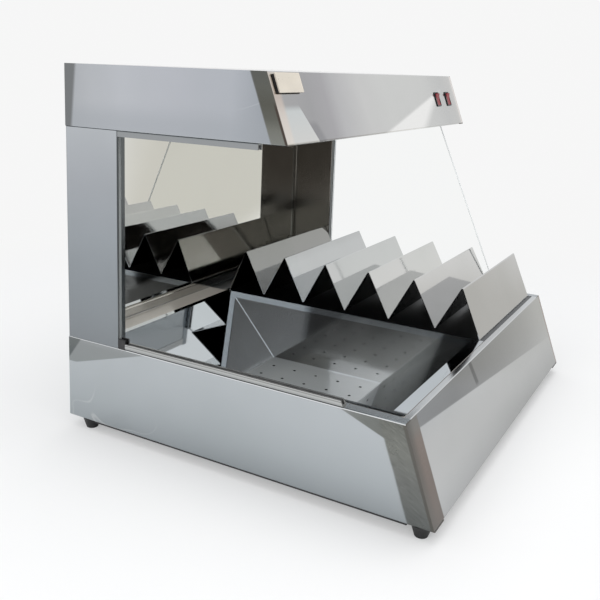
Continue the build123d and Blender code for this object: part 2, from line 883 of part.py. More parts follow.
def switch_body(x):
    """Bezel on the front and moulded box behind it, open as a well for the paddle."""
    face = Slope.plane(x, switch_up_slope)
    bezel = extrude(face * RectangleRounded(bezel_width, bezel_length, bezel_corner), bezel_rim)
    bezel = chamfer(bezel.faces().sort_by(Axis.Y)[0].outer_wire().edges(), bezel_edge)
    box = extrude(face * Rectangle(switch_width - 2 * fit, switch_length - 2 * fit), -switch_depth)
    well_outline = Rectangle(switch_width - 2 * switch_wall, switch_length - 2 * switch_wall)
    well = extrude(face.offset(bezel_rim) * well_outline, -(well_depth + bezel_rim))
    pivot = face.offset(-pivot_depth)
    length = switch_width / 2
    bore_section = Plane(origin=pivot.origin, z_dir=(1, 0, 0)) * Circle(pivot_radius + running_fit)
    bore = extrude(bore_section, length, both=True)
    return bezel + box - well - bore


def paddle(x):
    """Rocker paddle with a dished face, on its own two pivot stubs, tipped upper end out."""
    face = Slope.plane(x, switch_up_slope)
    side = Plane(origin=face.origin, x_dir=face.y_dir, z_dir=(1, 0, 0))
    half = paddle_length / 2
    sagitta = paddle_rise - paddle_dip
    top = ThreePointArc((-half, paddle_rise), (0, paddle_rise - sagitta), (half, paddle_rise))
    rim = Polyline((half, paddle_rise), (half, -paddle_skirt), (-half, -paddle_skirt), (-half, paddle_rise))
    pivot = side * Pos(0, -pivot_depth)
    section = Pos(0, pivot_depth) * make_face([*top.edges(), *rim.edges()]) + Circle(hub_radius)
    body = extrude(pivot * Rot(0, 0, paddle_rest) * section, paddle_width / 2, both=True)
    stub = extrude(pivot * Circle(pivot_radius), switch_width / 2 - stub_gap, both=True)
    return body + stub


def blades(x):
    """Three flat terminals behind one switch."""
    places = [switch_up_slope + i * blade_pitch for i in (-1, 0, 1)]
    outline = Rectangle(blade_width, blade_thickness)
    return [extrude(Slope.plane(x, up).offset(-switch_depth) * outline, -blade_length) for up in places]


for name, x in zip(("base_heat", "top_heat"), switch_places):
    write(f"switch_{name}", switch_body(x))
    write(f"paddle_{name}", paddle(x))
write("switch_terminals", *[blade for x in switch_places for blade in blades(x)])


# ---- bottom heater --------------------------------------------------------------------------

element_middle = (floor_rear + floor_front) / 2
leg_places = [element_middle + element_pitch * ((element_legs - 1) / 2 - i) for i in range(element_legs)]
element_right = hopper_right + element_tail
element_turn = hopper_left + element_inset + element_pitch / 2
element_return = element_right - element_short
clip_first = element_turn + clip_inset_left
clip_last = element_return - clip_inset_right
clip_places = [clip_first + (clip_last - clip_first) * i / (clip_count - 1) for i in range(clip_count)]


def element_path():
    """Centre line of the tube: straight legs joined by half circles."""
    lines = []
    x = element_right
    for i, y in enumerate(leg_places):
        last = i == len(leg_places) - 1
        far = element_right if last else (element_turn if i % 2 == 0 else element_return)
        lines.append(Line((x, y, z_element), (far, y, z_element)))
        if not last:
            bulge = -element_pitch / 2 if i % 2 == 0 else element_pitch / 2
            y_next = leg_places[i + 1]
            lines.append(ThreePointArc((far, y, z_element), (far + bulge, (y + y_next) / 2, z_element),
                                       (far, y_next, z_element)))
        x = far
    return Wire([edge for line in lines for edge in line.edges()])


def element():
    """The tubular element under the crumb tray."""
    path = element_path()
    section = Plane(origin=path @ 0, z_dir=path % 0) * Circle(element_radius)
    return sweep(section, path)


def element_clip(x, y):
    """Saddle on the bottom cover that holds one leg and carries the crumb tray."""
    half = clip_width / 2
    body = block((x - half, x + half), (y - half, y + half), (z_cover, z_tray))
    return body - rod((x - clip_width, y, z_element), (1, 0, 0), element_radius + fit, 2 * clip_width)


def element_end_bracket():
    """Angle on the bottom cover that carries both ends of the element."""
    x = element_right - ceramic_length
    half = element_pitch * element_legs / 2
    section = [(x, z_cover + element_bracket), (x, z_cover), (x + element_bracket, z_cover)]
    bracket = folded_y(section, (element_middle - half, element_middle + half))
    notch = ceramic_radius + bracket_gap
    for y in (leg_places[0], leg_places[-1]):
        bracket -= rod((x - past, y, z_element), (1, 0, 0), element_radius + fit, sheet + 2 * past)
        foot = (x + bend, x + element_bracket + past)
        bracket -= block(foot, (y - notch, y + notch), (z_cover - past, z_tray))
    return bracket


def ceramic(y):
    """Ceramic end of the element with its terminal pin."""
    start = (element_right, y, z_element)
    bead = rod(start, (1, 0, 0), ceramic_radius, ceramic_length)
    return bead + rod(start, (1, 0, 0), terminal_pin_radius, ceramic_length + terminal_pin)


tray_x = (hopper_left + tray_inset_x, hopper_right - tray_inset_x)
tray_y = (floor_front + tray_inset_y, floor_rear - tray_inset_y)


def crumb_tray():
    """Flat sheet on the clips, under the pierced floor."""
    return block(tray_x, tray_y, (z_tray, z_tray + tray_sheet))


def crumb_tray_rim():
    """Strip folded round the tray's edge and spot welded on it."""
    z = (z_tray + tray_sheet, z_tray + tray_height)
    inside = [(low + tray_sheet, high - tray_sheet) for low, high in (tray_x, tray_y)]
    return block(tray_x, tray_y, z) - block(*inside, z)


write("bottom_element", element())
write("element_clips", *[element_clip(x, y) for x in clip_places for y in leg_places])
write("element_end_bracket", element_end_bracket())
write("element_ceramics", ceramic(leg_places[0]), ceramic(leg_places[-1]))
write("crumb_tray", crumb_tray())
write("crumb_tray_rim", crumb_tray_rim())


# ---- wiring ---------------------------------------------------------------------------------

gland_x = end - gland_from_end
z_gland = z_base + gland_rise


def terminal_block():
    """Mains terminal block on the bottom cover beside the gland, with its screw wells."""
    x = (gland_x - terminal_length, gland_x)
    y = rear - terminal_from_rear
    middle = y - terminal_depth / 2
    pitch = terminal_length / terminal_ways
    body = block(x, (y - terminal_depth, y), (z_cover, z_cover + terminal_height))
    body = chamfer(body.edges().filter_by(Axis.X).group_by(Axis.Z)[-1], terminal_edge)
    for i in range(terminal_ways):
        well = (x[0] + pitch * (i + 0.5), middle, z_cover + terminal_height / 2)
        body -= rod(well, (0, 0, 1), terminal_well, terminal_height)
    return body


def gland():
    """Cable gland through the rear panel, empty, with its tapered cap outside."""
    base = (gland_x, rear, z_gland)
    collar = rod(base, (0, 1, 0), gland_flange, gland_collar)
    foot = Plane(origin=(gland_x, rear + gland_collar, z_gland), z_dir=(0, 1, 0))
    tip = Plane(origin=(gland_x, rear + gland_reach, z_gland), z_dir=(0, 1, 0))
    cap = loft([foot * Circle(gland_flange - gland_taper), tip * Circle(gland_flange - 2 * gland_taper)])
    body = collar + cap + rod(base, (0, -1, 0), gland_radius - fit, gland_inside)
    mouth = (gland_x, rear + gland_reach + past, z_gland)
    return body - rod(mouth, (0, -1, 0), gland_bore, gland_reach + gland_inside + 2 * past)


def gland_nut():
    """Locknut of the gland inside the rear panel."""
    face = Plane(origin=(gland_x, rear - sheet, z_gland), z_dir=(0, -1, 0))
    nut = extrude(face * RegularPolygon(gland_flange, 6), gland_nut_height)
    return nut - extrude(face * Circle(gland_radius), gland_nut_height)


def conduit():
    """Sleeve for the wires, up inside the right column."""
    start = z_ledge - conduit_tail
    length = column_height + 2 * sheet + 2 * conduit_tail
    sleeve = rod((conduit_x, conduit_y, start), (0, 0, 1), conduit_radius, length)
    radius = conduit_radius - conduit_wall
    return sleeve - rod((conduit_x, conduit_y, start - past), (0, 0, 1), radius, length + 2 * past)


def grommet(z, thickness):
    """Rubber ring round the conduit in a hole through a sheet of that thickness."""
    core = rod((conduit_x, conduit_y, z), (0, 0, 1), grommet_radius - fit, thickness)
    low = z - grommet_lip
    core += rod((conduit_x, conduit_y, low), (0, 0, 1), grommet_radius + grommet_flare, grommet_lip)
    return core - rod((conduit_x, conduit_y, low - past), (0, 0, 1), conduit_radius + fit,
                      thickness + grommet_lip + 2 * past)


write("terminal_block", terminal_block())
write("cable_gland", gland())
write("gland_nut", gland_nut())
write("wiring_conduit", conduit())
write("conduit_grommets", grommet(z_ledge, sheet), grommet(z_canopy, 2 * sheet))


# ---- cover screws ---------------------------------------------------------------------------

def small_screw(place, outward):
    """Button-head screw whose head sits on a face and whose shank runs inwards."""
    head = rod(place, outward, small_head_radius, small_head)
    inward = tuple(-part for part in outward)
    return head + rod(place, inward, small_screw_radius, small_shank)


write("bottom_cover_screws", *[small_screw((x, y, z_base), (0, 0, -1)) for x, y in cover_screw_places])
write("rear_cover_screws", *[small_screw((x, rear, z), (0, 1, 0)) for x, z in lip_screw_places])
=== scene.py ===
import logging
import math
from dataclasses import dataclass, field
from enum import Enum
from typing import Any, Optional, Union

import bpy
import numpy as np
from mathutils import Matrix, Vector


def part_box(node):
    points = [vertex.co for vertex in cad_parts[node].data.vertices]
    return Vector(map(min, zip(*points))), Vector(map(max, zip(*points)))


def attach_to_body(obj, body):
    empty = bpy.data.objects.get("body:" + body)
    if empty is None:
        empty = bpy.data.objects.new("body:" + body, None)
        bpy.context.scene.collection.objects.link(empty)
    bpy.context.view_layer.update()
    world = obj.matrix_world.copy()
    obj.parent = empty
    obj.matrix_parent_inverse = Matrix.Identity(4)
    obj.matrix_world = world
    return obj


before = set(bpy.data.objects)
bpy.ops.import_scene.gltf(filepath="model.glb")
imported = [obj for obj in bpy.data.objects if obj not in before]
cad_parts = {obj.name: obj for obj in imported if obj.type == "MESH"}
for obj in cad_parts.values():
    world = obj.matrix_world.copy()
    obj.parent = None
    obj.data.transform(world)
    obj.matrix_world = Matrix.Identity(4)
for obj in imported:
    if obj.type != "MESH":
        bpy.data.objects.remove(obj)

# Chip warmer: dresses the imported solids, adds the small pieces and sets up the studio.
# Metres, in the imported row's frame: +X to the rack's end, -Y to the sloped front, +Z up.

LOG = logging.getLogger("chip_warmer")
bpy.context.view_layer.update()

Number = Union[int, float]
Triple = tuple[float, float, float]
Colour = tuple[float, float, float]
Stops = tuple[tuple[float, Colour], ...]
Plane = tuple[Triple, float]

UP: Triple = (0.0, 0.0, 1.0)
DOWN: Triple = (0.0, 0.0, -1.0)
RIGHT: Triple = (1.0, 0.0, 0.0)
LEFT: Triple = (-1.0, 0.0, 0.0)
REAR: Triple = (0.0, 1.0, 0.0)
FRONT: Triple = (0.0, -1.0, 0.0)


class Grain(Enum):
    """The direction in which a sheet was brushed or rolled."""

    ALONG_X = (1.0, 60.0, 60.0)
    ALONG_Y = (60.0, 1.0, 60.0)
    ALONG_Z = (60.0, 60.0, 1.0)


# ---- planes ---------------------------------------------------------------------------------


def flipped(normal: Triple) -> Triple:
    """The opposite direction."""
    return tuple(-part for part in normal)


def sloped(y0: float, z0: float, y1: float, z1: float) -> Plane:
    """The plane through two points of the YZ section.

    Its normal is the line from the first point to the second, turned a quarter inwards.

    Args:
        y0: The lower point's y.
        z0: The lower point's z.
        y1: The upper point's y.
        z1: The upper point's z.

    Returns:
        The inward normal and the offset.
    """
    run = math.hypot(y1 - y0, z1 - z0)
    normal = (0.0, (z1 - z0) / run, -(y1 - y0) / run)
    return normal, normal[1] * y0 + normal[2] * z0


# ---- shader maths ---------------------------------------------------------------------------


class Signal:
    """One output socket, so that shader maths reads as an expression."""

    def __init__(self, graph: "Graph", socket: bpy.types.NodeSocket) -> None:
        """Wraps a socket of a graph.

        Args:
            graph: The graph that the socket belongs to.
            socket: The output socket.
        """
        self.graph = graph
        self.socket = socket

    def _maths(self, operation: str, *values: Any) -> "Signal":
        """Adds one Math node and returns its value."""
        made = self.graph.node("ShaderNodeMath", {"operation": operation}, dict(enumerate(values)))
        return Signal(self.graph, made.outputs[0])

    def __add__(self, other: Any) -> "Signal":
        """self + other."""
        return self._maths("ADD", self, other)

    def __radd__(self, other: Any) -> "Signal":
        """other + self."""
        return self._maths("ADD", other, self)

    def __sub__(self, other: Any) -> "Signal":
        """self - other."""
        return self._maths("SUBTRACT", self, other)

    def __rsub__(self, other: Any) -> "Signal":
        """other - self."""
        return self._maths("SUBTRACT", other, self)

    def __mul__(self, other: Any) -> "Signal":
        """self * other."""
        return self._maths("MULTIPLY", self, other)

    def __rmul__(self, other: Any) -> "Signal":
        """other * self."""
        return self._maths("MULTIPLY", other, self)

    def __truediv__(self, other: Any) -> "Signal":
        """self / other."""
        return self._maths("DIVIDE", self, other)

    def __rtruediv__(self, other: Any) -> "Signal":
        """other / self."""
        return self._maths("DIVIDE", other, self)

    def __pow__(self, other: Any) -> "Signal":
        """self ** other."""
        return self._maths("POWER", self, other)

    def __abs__(self) -> "Signal":
        """The value without its sign."""
        return self._maths("ABSOLUTE", self)

    def most(self, other: Any) -> "Signal":
        """The larger of the two."""
        return self._maths("MAXIMUM", self, other)

    def smooth(self, low: Number, high: Number) -> "Signal":
        """A smooth step from 0 at low to 1 at high; low may be the larger.

        Args:
            low: The value that gives 0.
            high: The value that gives 1.

        Returns:
            The stepped signal.
        """
        return self.ranged(low, high, "SMOOTHSTEP")

    def ranged(self, low: Number, high: Number, kind: str = "LINEAR") -> "Signal":
        """0 at low and 1 at high, clamped.

        Args:
            low: The value that gives 0.
            high: The value that gives 1.
            kind: Blender's interpolation.

        Returns:
            The signal from 0 to 1.
        """
        made = self.graph.node(
            "ShaderNodeMapRange", {"interpolation_type": kind, "clamp": True},
            {"Value": self, "From Min": low, "From Max": high, "To Min": 0.0, "To Max": 1.0},
        )
        return Signal(self.graph, made.outputs[0])


class Graph:
    """The node tree of a material or of the world, with its position signals at hand."""

    def __init__(self, owner: Union[bpy.types.Material, bpy.types.World]) -> None:
        """Empties the owner's tree and adds the output and the coordinates.

        Args:
            owner: A material, or the world, where a position is a direction.
        """
        self.owner = owner
        owner.use_nodes = True
        self.tree = owner.node_tree
        self.tree.nodes.clear()
        world = isinstance(owner, bpy.types.World)
        self.out = self.node("ShaderNodeOutputWorld" if world else "ShaderNodeOutputMaterial")
        coordinates = self.node("ShaderNodeTexCoord").outputs
        self.place = Signal(self, coordinates["Generated" if world else "Object"])
        self.x, self.y, self.z = self.split(self.place)
        self.face_x, self.face_y, self.face_z = self.split(Signal(self, coordinates["Normal"]))
        rays = self.node("ShaderNodeLightPath").outputs
        through = Signal(self, rays["Is Transmission Ray"])
        self.seen = Signal(self, rays["Is Camera Ray"]).most(through)
        self.mirrored = Signal(self, rays["Is Glossy Ray"])

    @classmethod
    def material(cls, name: str) -> "Graph":
        """Starts an empty material.

        Args:
            name: The material's name.

        Returns:
            Its graph.
        """
        return cls(bpy.data.materials.new(name))

    def node(self, kind: str, settings: Optional[dict[str, Any]] = None,
             inputs: Optional[dict[Any, Any]] = None) -> bpy.types.Node:
        """Adds any node: its type, then its settings, then its sockets.

        Args:
            kind: The node's Blender type.
            settings: Attributes of the node; "stops" gives a ramp's stops as (place, colour).
            inputs: Values or Signals by the socket's name or number.

        Returns:
            The node.
        """
        made = self.tree.nodes.new(kind)
        for key, value in (settings or {}).items():
            if key == "stops":
                ramp = made.color_ramp
                if len(value) == 1:
                    ramp.elements.remove(ramp.elements[1])
                for i, (place, colour) in enumerate(value):
                    stop = ramp.elements[i] if i < 2 else ramp.elements.new(place)
                    stop.position = place
                    stop.color = (*colour, 1.0)
            else:
                setattr(made, key, value)
        for key, value in (inputs or {}).items():
            self.feed(made.inputs[key], value)
        return made

    def feed(self, socket: bpy.types.NodeSocket, value: Any) -> None:
        """Links a signal to a socket, or sets the socket's own value.

        Args:
            socket: The input socket.
            value: A signal, a socket, a number, a vector or a colour.
        """
        if isinstance(value, Signal):
            self.tree.links.new(value.socket, socket)
        elif isinstance(value, bpy.types.NodeSocket):
            self.tree.links.new(value, socket)
        elif socket.type == "RGBA" and len(value) == 3:
            socket.default_value = (*value, 1.0)
        else:
            socket.default_value = value

    def split(self, vector: Signal) -> tuple[Signal, ...]:
        """The three parts of a vector."""
        made = self.node("ShaderNodeSeparateXYZ", {}, {0: vector})
        return tuple(Signal(self, out) for out in made.outputs)

    def along(self, normal: Triple, x: Any = None, y: Any = None, z: Any = None) -> Signal:
        """The dot product of a constant vector with the position, or with three other signals.

        Args:
            normal: The constant vector; its zero parts add no nodes.
            x: The other vector's x; the position when left out.
            y: The other vector's y.
            z: The other vector's z.

        Returns:
            The dot product.
        """
        parts = (self.x, self.y, self.z) if x is None else (x, y, z)
        total: Any = None
        for weight, part in zip(normal, parts):
            if weight:
                total = part * weight if total is None else total + part * weight
        return total

    def facing(self, normal: Triple, both: bool = False) -> Signal:
        """1 on the faces that look along a direction, or also against it when both is set."""
        look = self.along(normal, self.face_x, self.face_y, self.face_z)
        return (abs(look) if both else look).smooth(0.6, 0.75)

    def stretched(self, factors: Triple, slant: float = 0.0) -> Signal:
        """The position turned about X and multiplied axis by axis, for grain that runs one way.

        Args:
            factors: What each axis is multiplied by.
            slant: The turn in radians.

        Returns:
            The place to read noise at.
        """
        place: Any = self.place
        if slant:
            place = self.node("ShaderNodeVectorRotate", {"rotation_type": "X_AXIS"},
                              {"Vector": self.place, "Angle": slant}).outputs[0]
        made = self.node("ShaderNodeVectorMath", {"operation": "MULTIPLY"}, {0: place, 1: factors})
        return Signal(self, made.outputs[0])

    def noise(self, scale: float, detail: float = 3.0, vector: Optional[Signal] = None,
              rough: float = 0.5) -> Signal:
        """Smooth noise between 0 and 1.

        Args:
            scale: Cells per metre.
            detail: Octaves.
            vector: Where it is read; the position when left out.
            rough: How much of each octave is kept.

        Returns:
            The noise.
        """
        made = self.node("ShaderNodeTexNoise", {"noise_dimensions": "3D"}, {
            "Vector": vector or self.place, "Scale": scale, "Detail": detail, "Roughness": rough})
        return Signal(self, made.outputs[0])

    def ramp(self, place: Signal, stops: Stops) -> Signal:
        """A colour read from stops between 0 and 1."""
        made = self.node("ShaderNodeValToRGB", {"stops": stops}, {0: place})
        return Signal(self, made.outputs[0])

    def blend(self, factor: Any, first: Any, second: Any, kind: str = "MIX") -> Signal:
        """A colour from first, at factor 0, to second, at factor 1.

        Args:
            factor: The share of the second.
            first: The first colour.
            second: The second colour.
            kind: Blender's blend type; "MULTIPLY" tints the first with the second.

        Returns:
            The colour.
        """
        made = self.node("ShaderNodeMix", {"data_type": "RGBA", "blend_type": kind},
                         {"Factor": factor, 6: first, 7: second})
        return Signal(self, made.outputs[2])

    def bump(self, height: Any, distance: float, under: Optional[Signal] = None) -> Signal:
        """A bumped normal.

        Args:
            height: The height signal, 0 to 1.
            distance: Metres of relief at height 1.
            under: A normal to add this one to.

        Returns:
            The normal.
        """
        inputs = {"Height": height, "Distance": distance}
        if under is not None:
            inputs["Normal"] = under
        return Signal(self, self.node("ShaderNodeBump", {}, inputs).outputs[0])

    def surface(self, **inputs: Any) -> Signal:
        """A Principled surface; underscores stand for the spaces of its socket names."""
        named = {key.replace("_", " "): value for key, value in inputs.items()}
        return Signal(self, self.node("ShaderNodeBsdfPrincipled", {}, named).outputs[0])

    def glow(self, kind: str, colour: Any) -> Signal:
        """A plain emitter: "Emission" for a surface, "Background" for the world."""
        name = "ShaderNodeEmission" if kind == "Emission" else "ShaderNodeBackground"
        return Signal(self, self.node(name, {}, {"Color": colour}).outputs[0])

    def mixed(self, factor: Any, first: Signal, second: Signal) -> Signal:
        """One shader at factor 0 and another at factor 1."""
        made = self.node("ShaderNodeMixShader", {}, {0: factor, 1: first, 2: second})
        return Signal(self, made.outputs[0])

    def finish(self, shader: Signal) -> Any:
        """Ends the tree in a shader and returns the material or the world."""
        self.feed(self.out.inputs["Surface"], shader)
        return self.owner


# ---- finishes -------------------------------------------------------------------------------


def shown(red: Number, green: Number, blue: Number) -> Colour:
    """The metal colour that shows an sRGB tone where it mirrors a white room.

    Args:
        red: sRGB red, 0 to 255.
        green: sRGB green.
        blue: sRGB blue.

    Returns:
        The linear colour.
    """
    srgb = np.array([red, green, blue]) / 255.0
    linear = np.where(srgb <= 0.04045, srgb / 12.92, ((srgb + 0.055) / 1.055) ** 2.4)
    return tuple(float(part) for part in np.minimum(linear, 0.98))


def tones(*rows: tuple[Number, Number, Number, Number]) -> Stops:
    """Stops from rows of a place between 0 and 1 and an sRGB tone."""
    return tuple((row[0], shown(*row[1:])) for row in rows)


def flat(colour: Colour) -> Stops:
    """Stops of one colour."""
    return ((0.0, colour),)


def one_tone(red: Number, green: Number, blue: Number) -> Stops:
    """Stops of one sRGB tone."""
    return flat(shown(red, green, blue))


@dataclass(frozen=True)
class Edge:
    """A half space: the points whose distance along a normal is over an offset.

    Soft is half the width over which it fades, in metres.
    """

    normal: Triple
    offset: float
    soft: float = 0.0015

    def mask(self, graph: Graph, wander: Optional[Signal] = None) -> Signal:
        """1 well inside the half space and 0 outside.

        Args:
            graph: The material's graph.
            wander: A signal about 0 that moves the border, in softness widths.

        Returns:
            The mask.
        """
        past = graph.along(self.normal) - self.offset
        if wander is not None:
            past = past + wander * self.soft
        return past.smooth(-self.soft, self.soft)


def beside(normal: Triple, offset: float, width: float, soft: float = 0.0015) -> Edge:
    """The strip that lies within a width of the plane n.p = offset, on its inner side."""
    return Edge(flipped(normal), -(offset + width), soft)


@dataclass(frozen=True)
class Patch:
    """A region of a face with its own tone: a polished weld, a dark line, or painted shade or
    highlight.

    The edges bound the region on the faces that look along facing, or also against it when
    both is set. The tone is read from stops between the two values of reach along axis.
    Strokes are ground marks at a slant (radians about X), and wander makes the border uneven.
    """

    edges: tuple[Edge, ...]
    facing: Triple
    stops: Stops
    reach: tuple[float, float] = (0.0, 1.0)
    axis: Triple = UP
    both: bool = False
    strength: float = 1.0
    strokes: float = 0.0
    slant: float = -0.55
    roughness: float = 0.0
    wander: float = 0.0

    def lay(self, graph: Graph, base: Signal, rough: Signal,
            height: Signal) -> tuple[Signal, Signal, Signal]:
        """Lays the patch over a finish.

        Args:
            graph: The material's graph.
            base: The colour below.
            rough: The roughness below.
            height: The relief below.

        Returns:
            The colour, the roughness and the relief with the patch.
        """
        uneven = (graph.noise(22.0, 3.0) - 0.5) * self.wander if self.wander else None
        mask = graph.facing(self.facing, self.both) * self.strength
        for edge in self.edges:
            mask = mask * edge.mask(graph, uneven)
        tone = graph.ramp(graph.along(self.axis).ranged(*self.reach), self.stops)
        if self.strokes:
            marks = graph.noise(30.0, 3.0, graph.stretched((2.2, 2.2, 16.0), self.slant), 0.55)
            for side, gain in ((marks - 0.5, 1.25), (0.5 - marks, 0.75)):
                share = side.smooth(0.0, 0.3) * self.strokes
                tone = graph.blend(share, tone, (gain,) * 3, "MULTIPLY")
            height = height + mask * marks * (2.0 * self.strokes)
        return graph.blend(mask, base, tone), rough + mask * self.roughness, height


@dataclass(frozen=True)
class Dull:
    """Where a sheet scatters light instead of mirroring it, and how much."""

    facing: Triple
    share: float = 0.5
    colour: Colour = (0.6, 0.61, 0.6)
    edges: tuple[Edge, ...] = ()

    def mask(self, graph: Graph) -> Signal:
        """The share of scattered light.

        Args:
            graph: The material's graph.

        Returns:
            The share, 0 outside the region.
        """
        mask = graph.facing(self.facing) * self.share
        for edge in self.edges:
            mask = mask * edge.mask(graph)
        return mask


@dataclass(frozen=True)
class SheetSteel:
    """Stainless sheet: rolled grain, faint smears, a slightly uneven face, toned patches.

    The colour is read from stops between the two values of reach along axis. Spread is how
    much the grain changes the roughness, sway and grain_depth are reliefs in metres.
    """

    name: str
    grain: Grain
    stops: Stops = flat((0.47, 0.49, 0.51))
    axis: Triple = UP
    reach: tuple[float, float] = (0.0, 1.0)
    roughness: float = 0.2
    spread: float = 0.06
    sway: float = 0.0005
    grain_depth: float = 0.000010
    scratches: float = 0.3
    patches: tuple[Patch, ...] = ()
    dull: Optional[Dull] = None

    def make(self) -> bpy.types.Material:
        """Builds the material.

        Returns:
            The steel.
        """
        g = Graph.material(self.name)
        fine = g.noise(9.0, 3.0, g.stretched(self.grain.value))
        cloud = g.noise(6.5, 4.0, rough=0.6)
        smear = g.noise(1.6, 5.0, g.stretched((5.0, 2.0, 3.0)), 0.65).smooth(0.5, 0.75)
        lines = abs(g.noise(4.0, 2.0, g.stretched((3.0, 1.0, 1.6))) - 0.5).smooth(0.004, 0.0)
        scuff = lines * g.noise(2.2, 1.0).smooth(0.62, 0.72) * self.scratches
        base = g.ramp(g.along(self.axis).ranged(*self.reach), self.stops)
        base = g.blend(cloud.smooth(0.35, 0.7) * 0.7, base, (0.95, 0.955, 0.95), "MULTIPLY")
        base = g.blend(scuff, base, (0.78, 0.78, 0.77))
        rough: Any = self.roughness + (fine - 0.5) * self.spread + smear * 0.04 + scuff * 0.2
        height = fine
        for patch in self.patches:
            base, rough, height = patch.lay(g, base, rough, height)
        normal = g.bump(height, self.grain_depth, g.bump(g.noise(3.0, 2.0), self.sway))
        metal = g.surface(Base_Color=base, Metallic=1.0, Roughness=rough, Normal=normal)
        if self.dull is None:
            return g.finish(metal)
        colour = g.blend(cloud, self.dull.colour, tuple(0.93 * c for c in self.dull.colour))
        soft = g.surface(Base_Color=colour, Metallic=0.0, Roughness=0.6, Normal=normal)
        return g.finish(g.mixed(self.dull.mask(g), metal, soft))


@dataclass(frozen=True)
class MirrorPlate:
    """Polished plate with a faint haze and a few wipe marks."""

    name: str = "mirror_plate"
    colour: Colour = (0.81, 0.80, 0.765)

    def make(self) -> bpy.types.Material:
        """Builds the material.

        Returns:
            The material.
        """
        g = Graph.material(self.name)
        haze = g.noise(5.0, 4.0).smooth(0.45, 0.8)
        wipe = g.noise(3.0, 5.0, g.stretched((1.0, 1.0, 7.0)), 0.7).smooth(0.62, 0.72)
        rough = 0.008 + haze * 0.015 + wipe * 0.04
        base = g.blend(haze, self.colour, tuple(c * 0.95 for c in self.colour))
        return g.finish(g.surface(Base_Color=base, Metallic=1.0, Roughness=rough))


@dataclass(frozen=True)
class ClearPane:
    """Clear glass: see-through faces with a faint shine and, where planes say so, ground edges."""

    name: str
    planes: tuple[Plane, ...] = ()
    tint: Colour = (0.992, 0.996, 0.994)
    edge: Colour = (0.36, 0.40, 0.39)
    edge_width: float = 0.0004
    shine: float = 0.6
    smudges: float = 0.0

    def make(self) -> bpy.types.Material:
        """Builds the material.

        Each plane is a normal and an offset, and marks one ground edge. The shine counts only
        where a ray enters the glass: worked out where it leaves too, it would mirror inside.

        Returns:
            The glass.
        """
        g = Graph.material(self.name)
        clear = Signal(g, g.node("ShaderNodeBsdfTransparent", {}, {"Color": self.tint}).outputs[0])
        smudge = g.noise(9.0, 5.0, rough=0.6).smooth(0.5, 0.8)
        rough = 0.01 + smudge * 0.05
        gloss = g.surface(Base_Color=(0.9, 0.95, 0.93), Roughness=rough, Metallic=1.0)
        fresnel = Signal(g, g.node("ShaderNodeFresnel", {}, {"IOR": 1.45}).outputs[0])
        entering = 1.0 - Signal(g, g.node("ShaderNodeNewGeometry").outputs["Backfacing"])
        shine = fresnel.smooth(0.06, 0.9) * entering * self.shine
        face = g.mixed(shine + smudge * self.smudges, clear, gloss)
        if not self.planes:
            return g.finish(face)
        mask: Any = None
        for normal, offset in self.planes:
            near = abs(g.along(normal) - offset).smooth(self.edge_width * 2, self.edge_width)
            mask = near if mask is None else mask.most(near)
        grit = g.blend(g.noise(300.0, 2.0), self.edge, tuple(c * 1.4 for c in self.edge))
        ground = g.surface(Base_Color=grit, Roughness=0.25, Metallic=0.0)
        return g.finish(g.mixed(mask, face, ground))


@dataclass(frozen=True)
class Moulded:
    """Moulded plastic, rubber, ceramic or plated metal: a colour with mottle and relief."""

    name: str
    colour: Colour
    roughness: float
    mottle: float = 0.15
    relief: float = 0.00003
    scale: float = 900.0
    metallic: float = 0.0
    dust: float = 0.0
    coat: float = 0.0

    def make(self) -> bpy.types.Material:
        """Builds the material.

        Returns:
            The material.
        """
        g = Graph.material(self.name)
        fine = g.noise(self.scale, 3.0)
        broad = g.noise(self.scale / 22.0, 3.0, rough=0.6)
        gain = 1.0 + self.mottle
        lighter = tuple(min(1.0, c * gain + 0.02 * self.mottle) for c in self.colour)
        base = g.blend(broad.smooth(0.3, 0.7), self.colour, lighter)
        if self.dust:
            spots = g.noise(self.scale / 6.0, 4.0, rough=0.7).smooth(0.52, 0.75)
            base = g.blend(spots * self.dust, base, (0.42, 0.41, 0.39))
        rough = self.roughness + (broad - 0.5) * 0.12 + (fine - 0.5) * 0.06
        return g.finish(g.surface(Base_Color=base, Roughness=rough, Metallic=self.metallic,
                                  Normal=g.bump(fine, self.relief), Coat_Weight=self.coat))


Finish = Union[SheetSteel, MirrorPlate, ClearPane, Moulded]


@dataclass(frozen=True)
class Room:
    """What polished steel sees round the part: pale walls, a bright side and a dark corner.

    Each lobe has a direction, the cosines where it starts and is full, and a colour.
    """

    low: Colour = (0.62, 0.64, 0.66)
    high: Colour = (0.93, 0.94, 0.95)
    lobes: tuple[tuple[Triple, float, float, Colour], ...] = (
        ((-0.86, 0.49, -0.05), 0.72, 0.96, (1.0, 1.0, 1.02)),
        ((0.93, -0.33, 0.17), 0.80, 0.97, (0.95, 0.95, 0.94)),
        ((0.87, 0.49, 0.0), 0.90, 0.99, (1.0, 1.0, 1.0)),
        ((-0.875, -0.47, -0.10), 0.955, 0.985, (0.065, 0.060, 0.054)),
        ((0.87, -0.49, -0.06), 0.970, 0.990, (0.72, 0.71, 0.67)),
    )

    def colour(self, g: Graph, x: Signal, y: Signal, z: Any) -> Signal:
        """The room's colour in one direction.

        Args:
            g: The graph to build in.
            x: The direction's x.
            y: The direction's y.
            z: The direction's z.

        Returns:
            The colour.
        """
        rise = z if isinstance(z, Signal) else x * 0.0
        tone = g.blend(rise.smooth(0.0, 0.7), self.low, self.high)
        for axis, low, high, colour in self.lobes:
            tone = g.blend(g.along(axis, x, y, rise).smooth(low, high), tone, colour)
        return tone


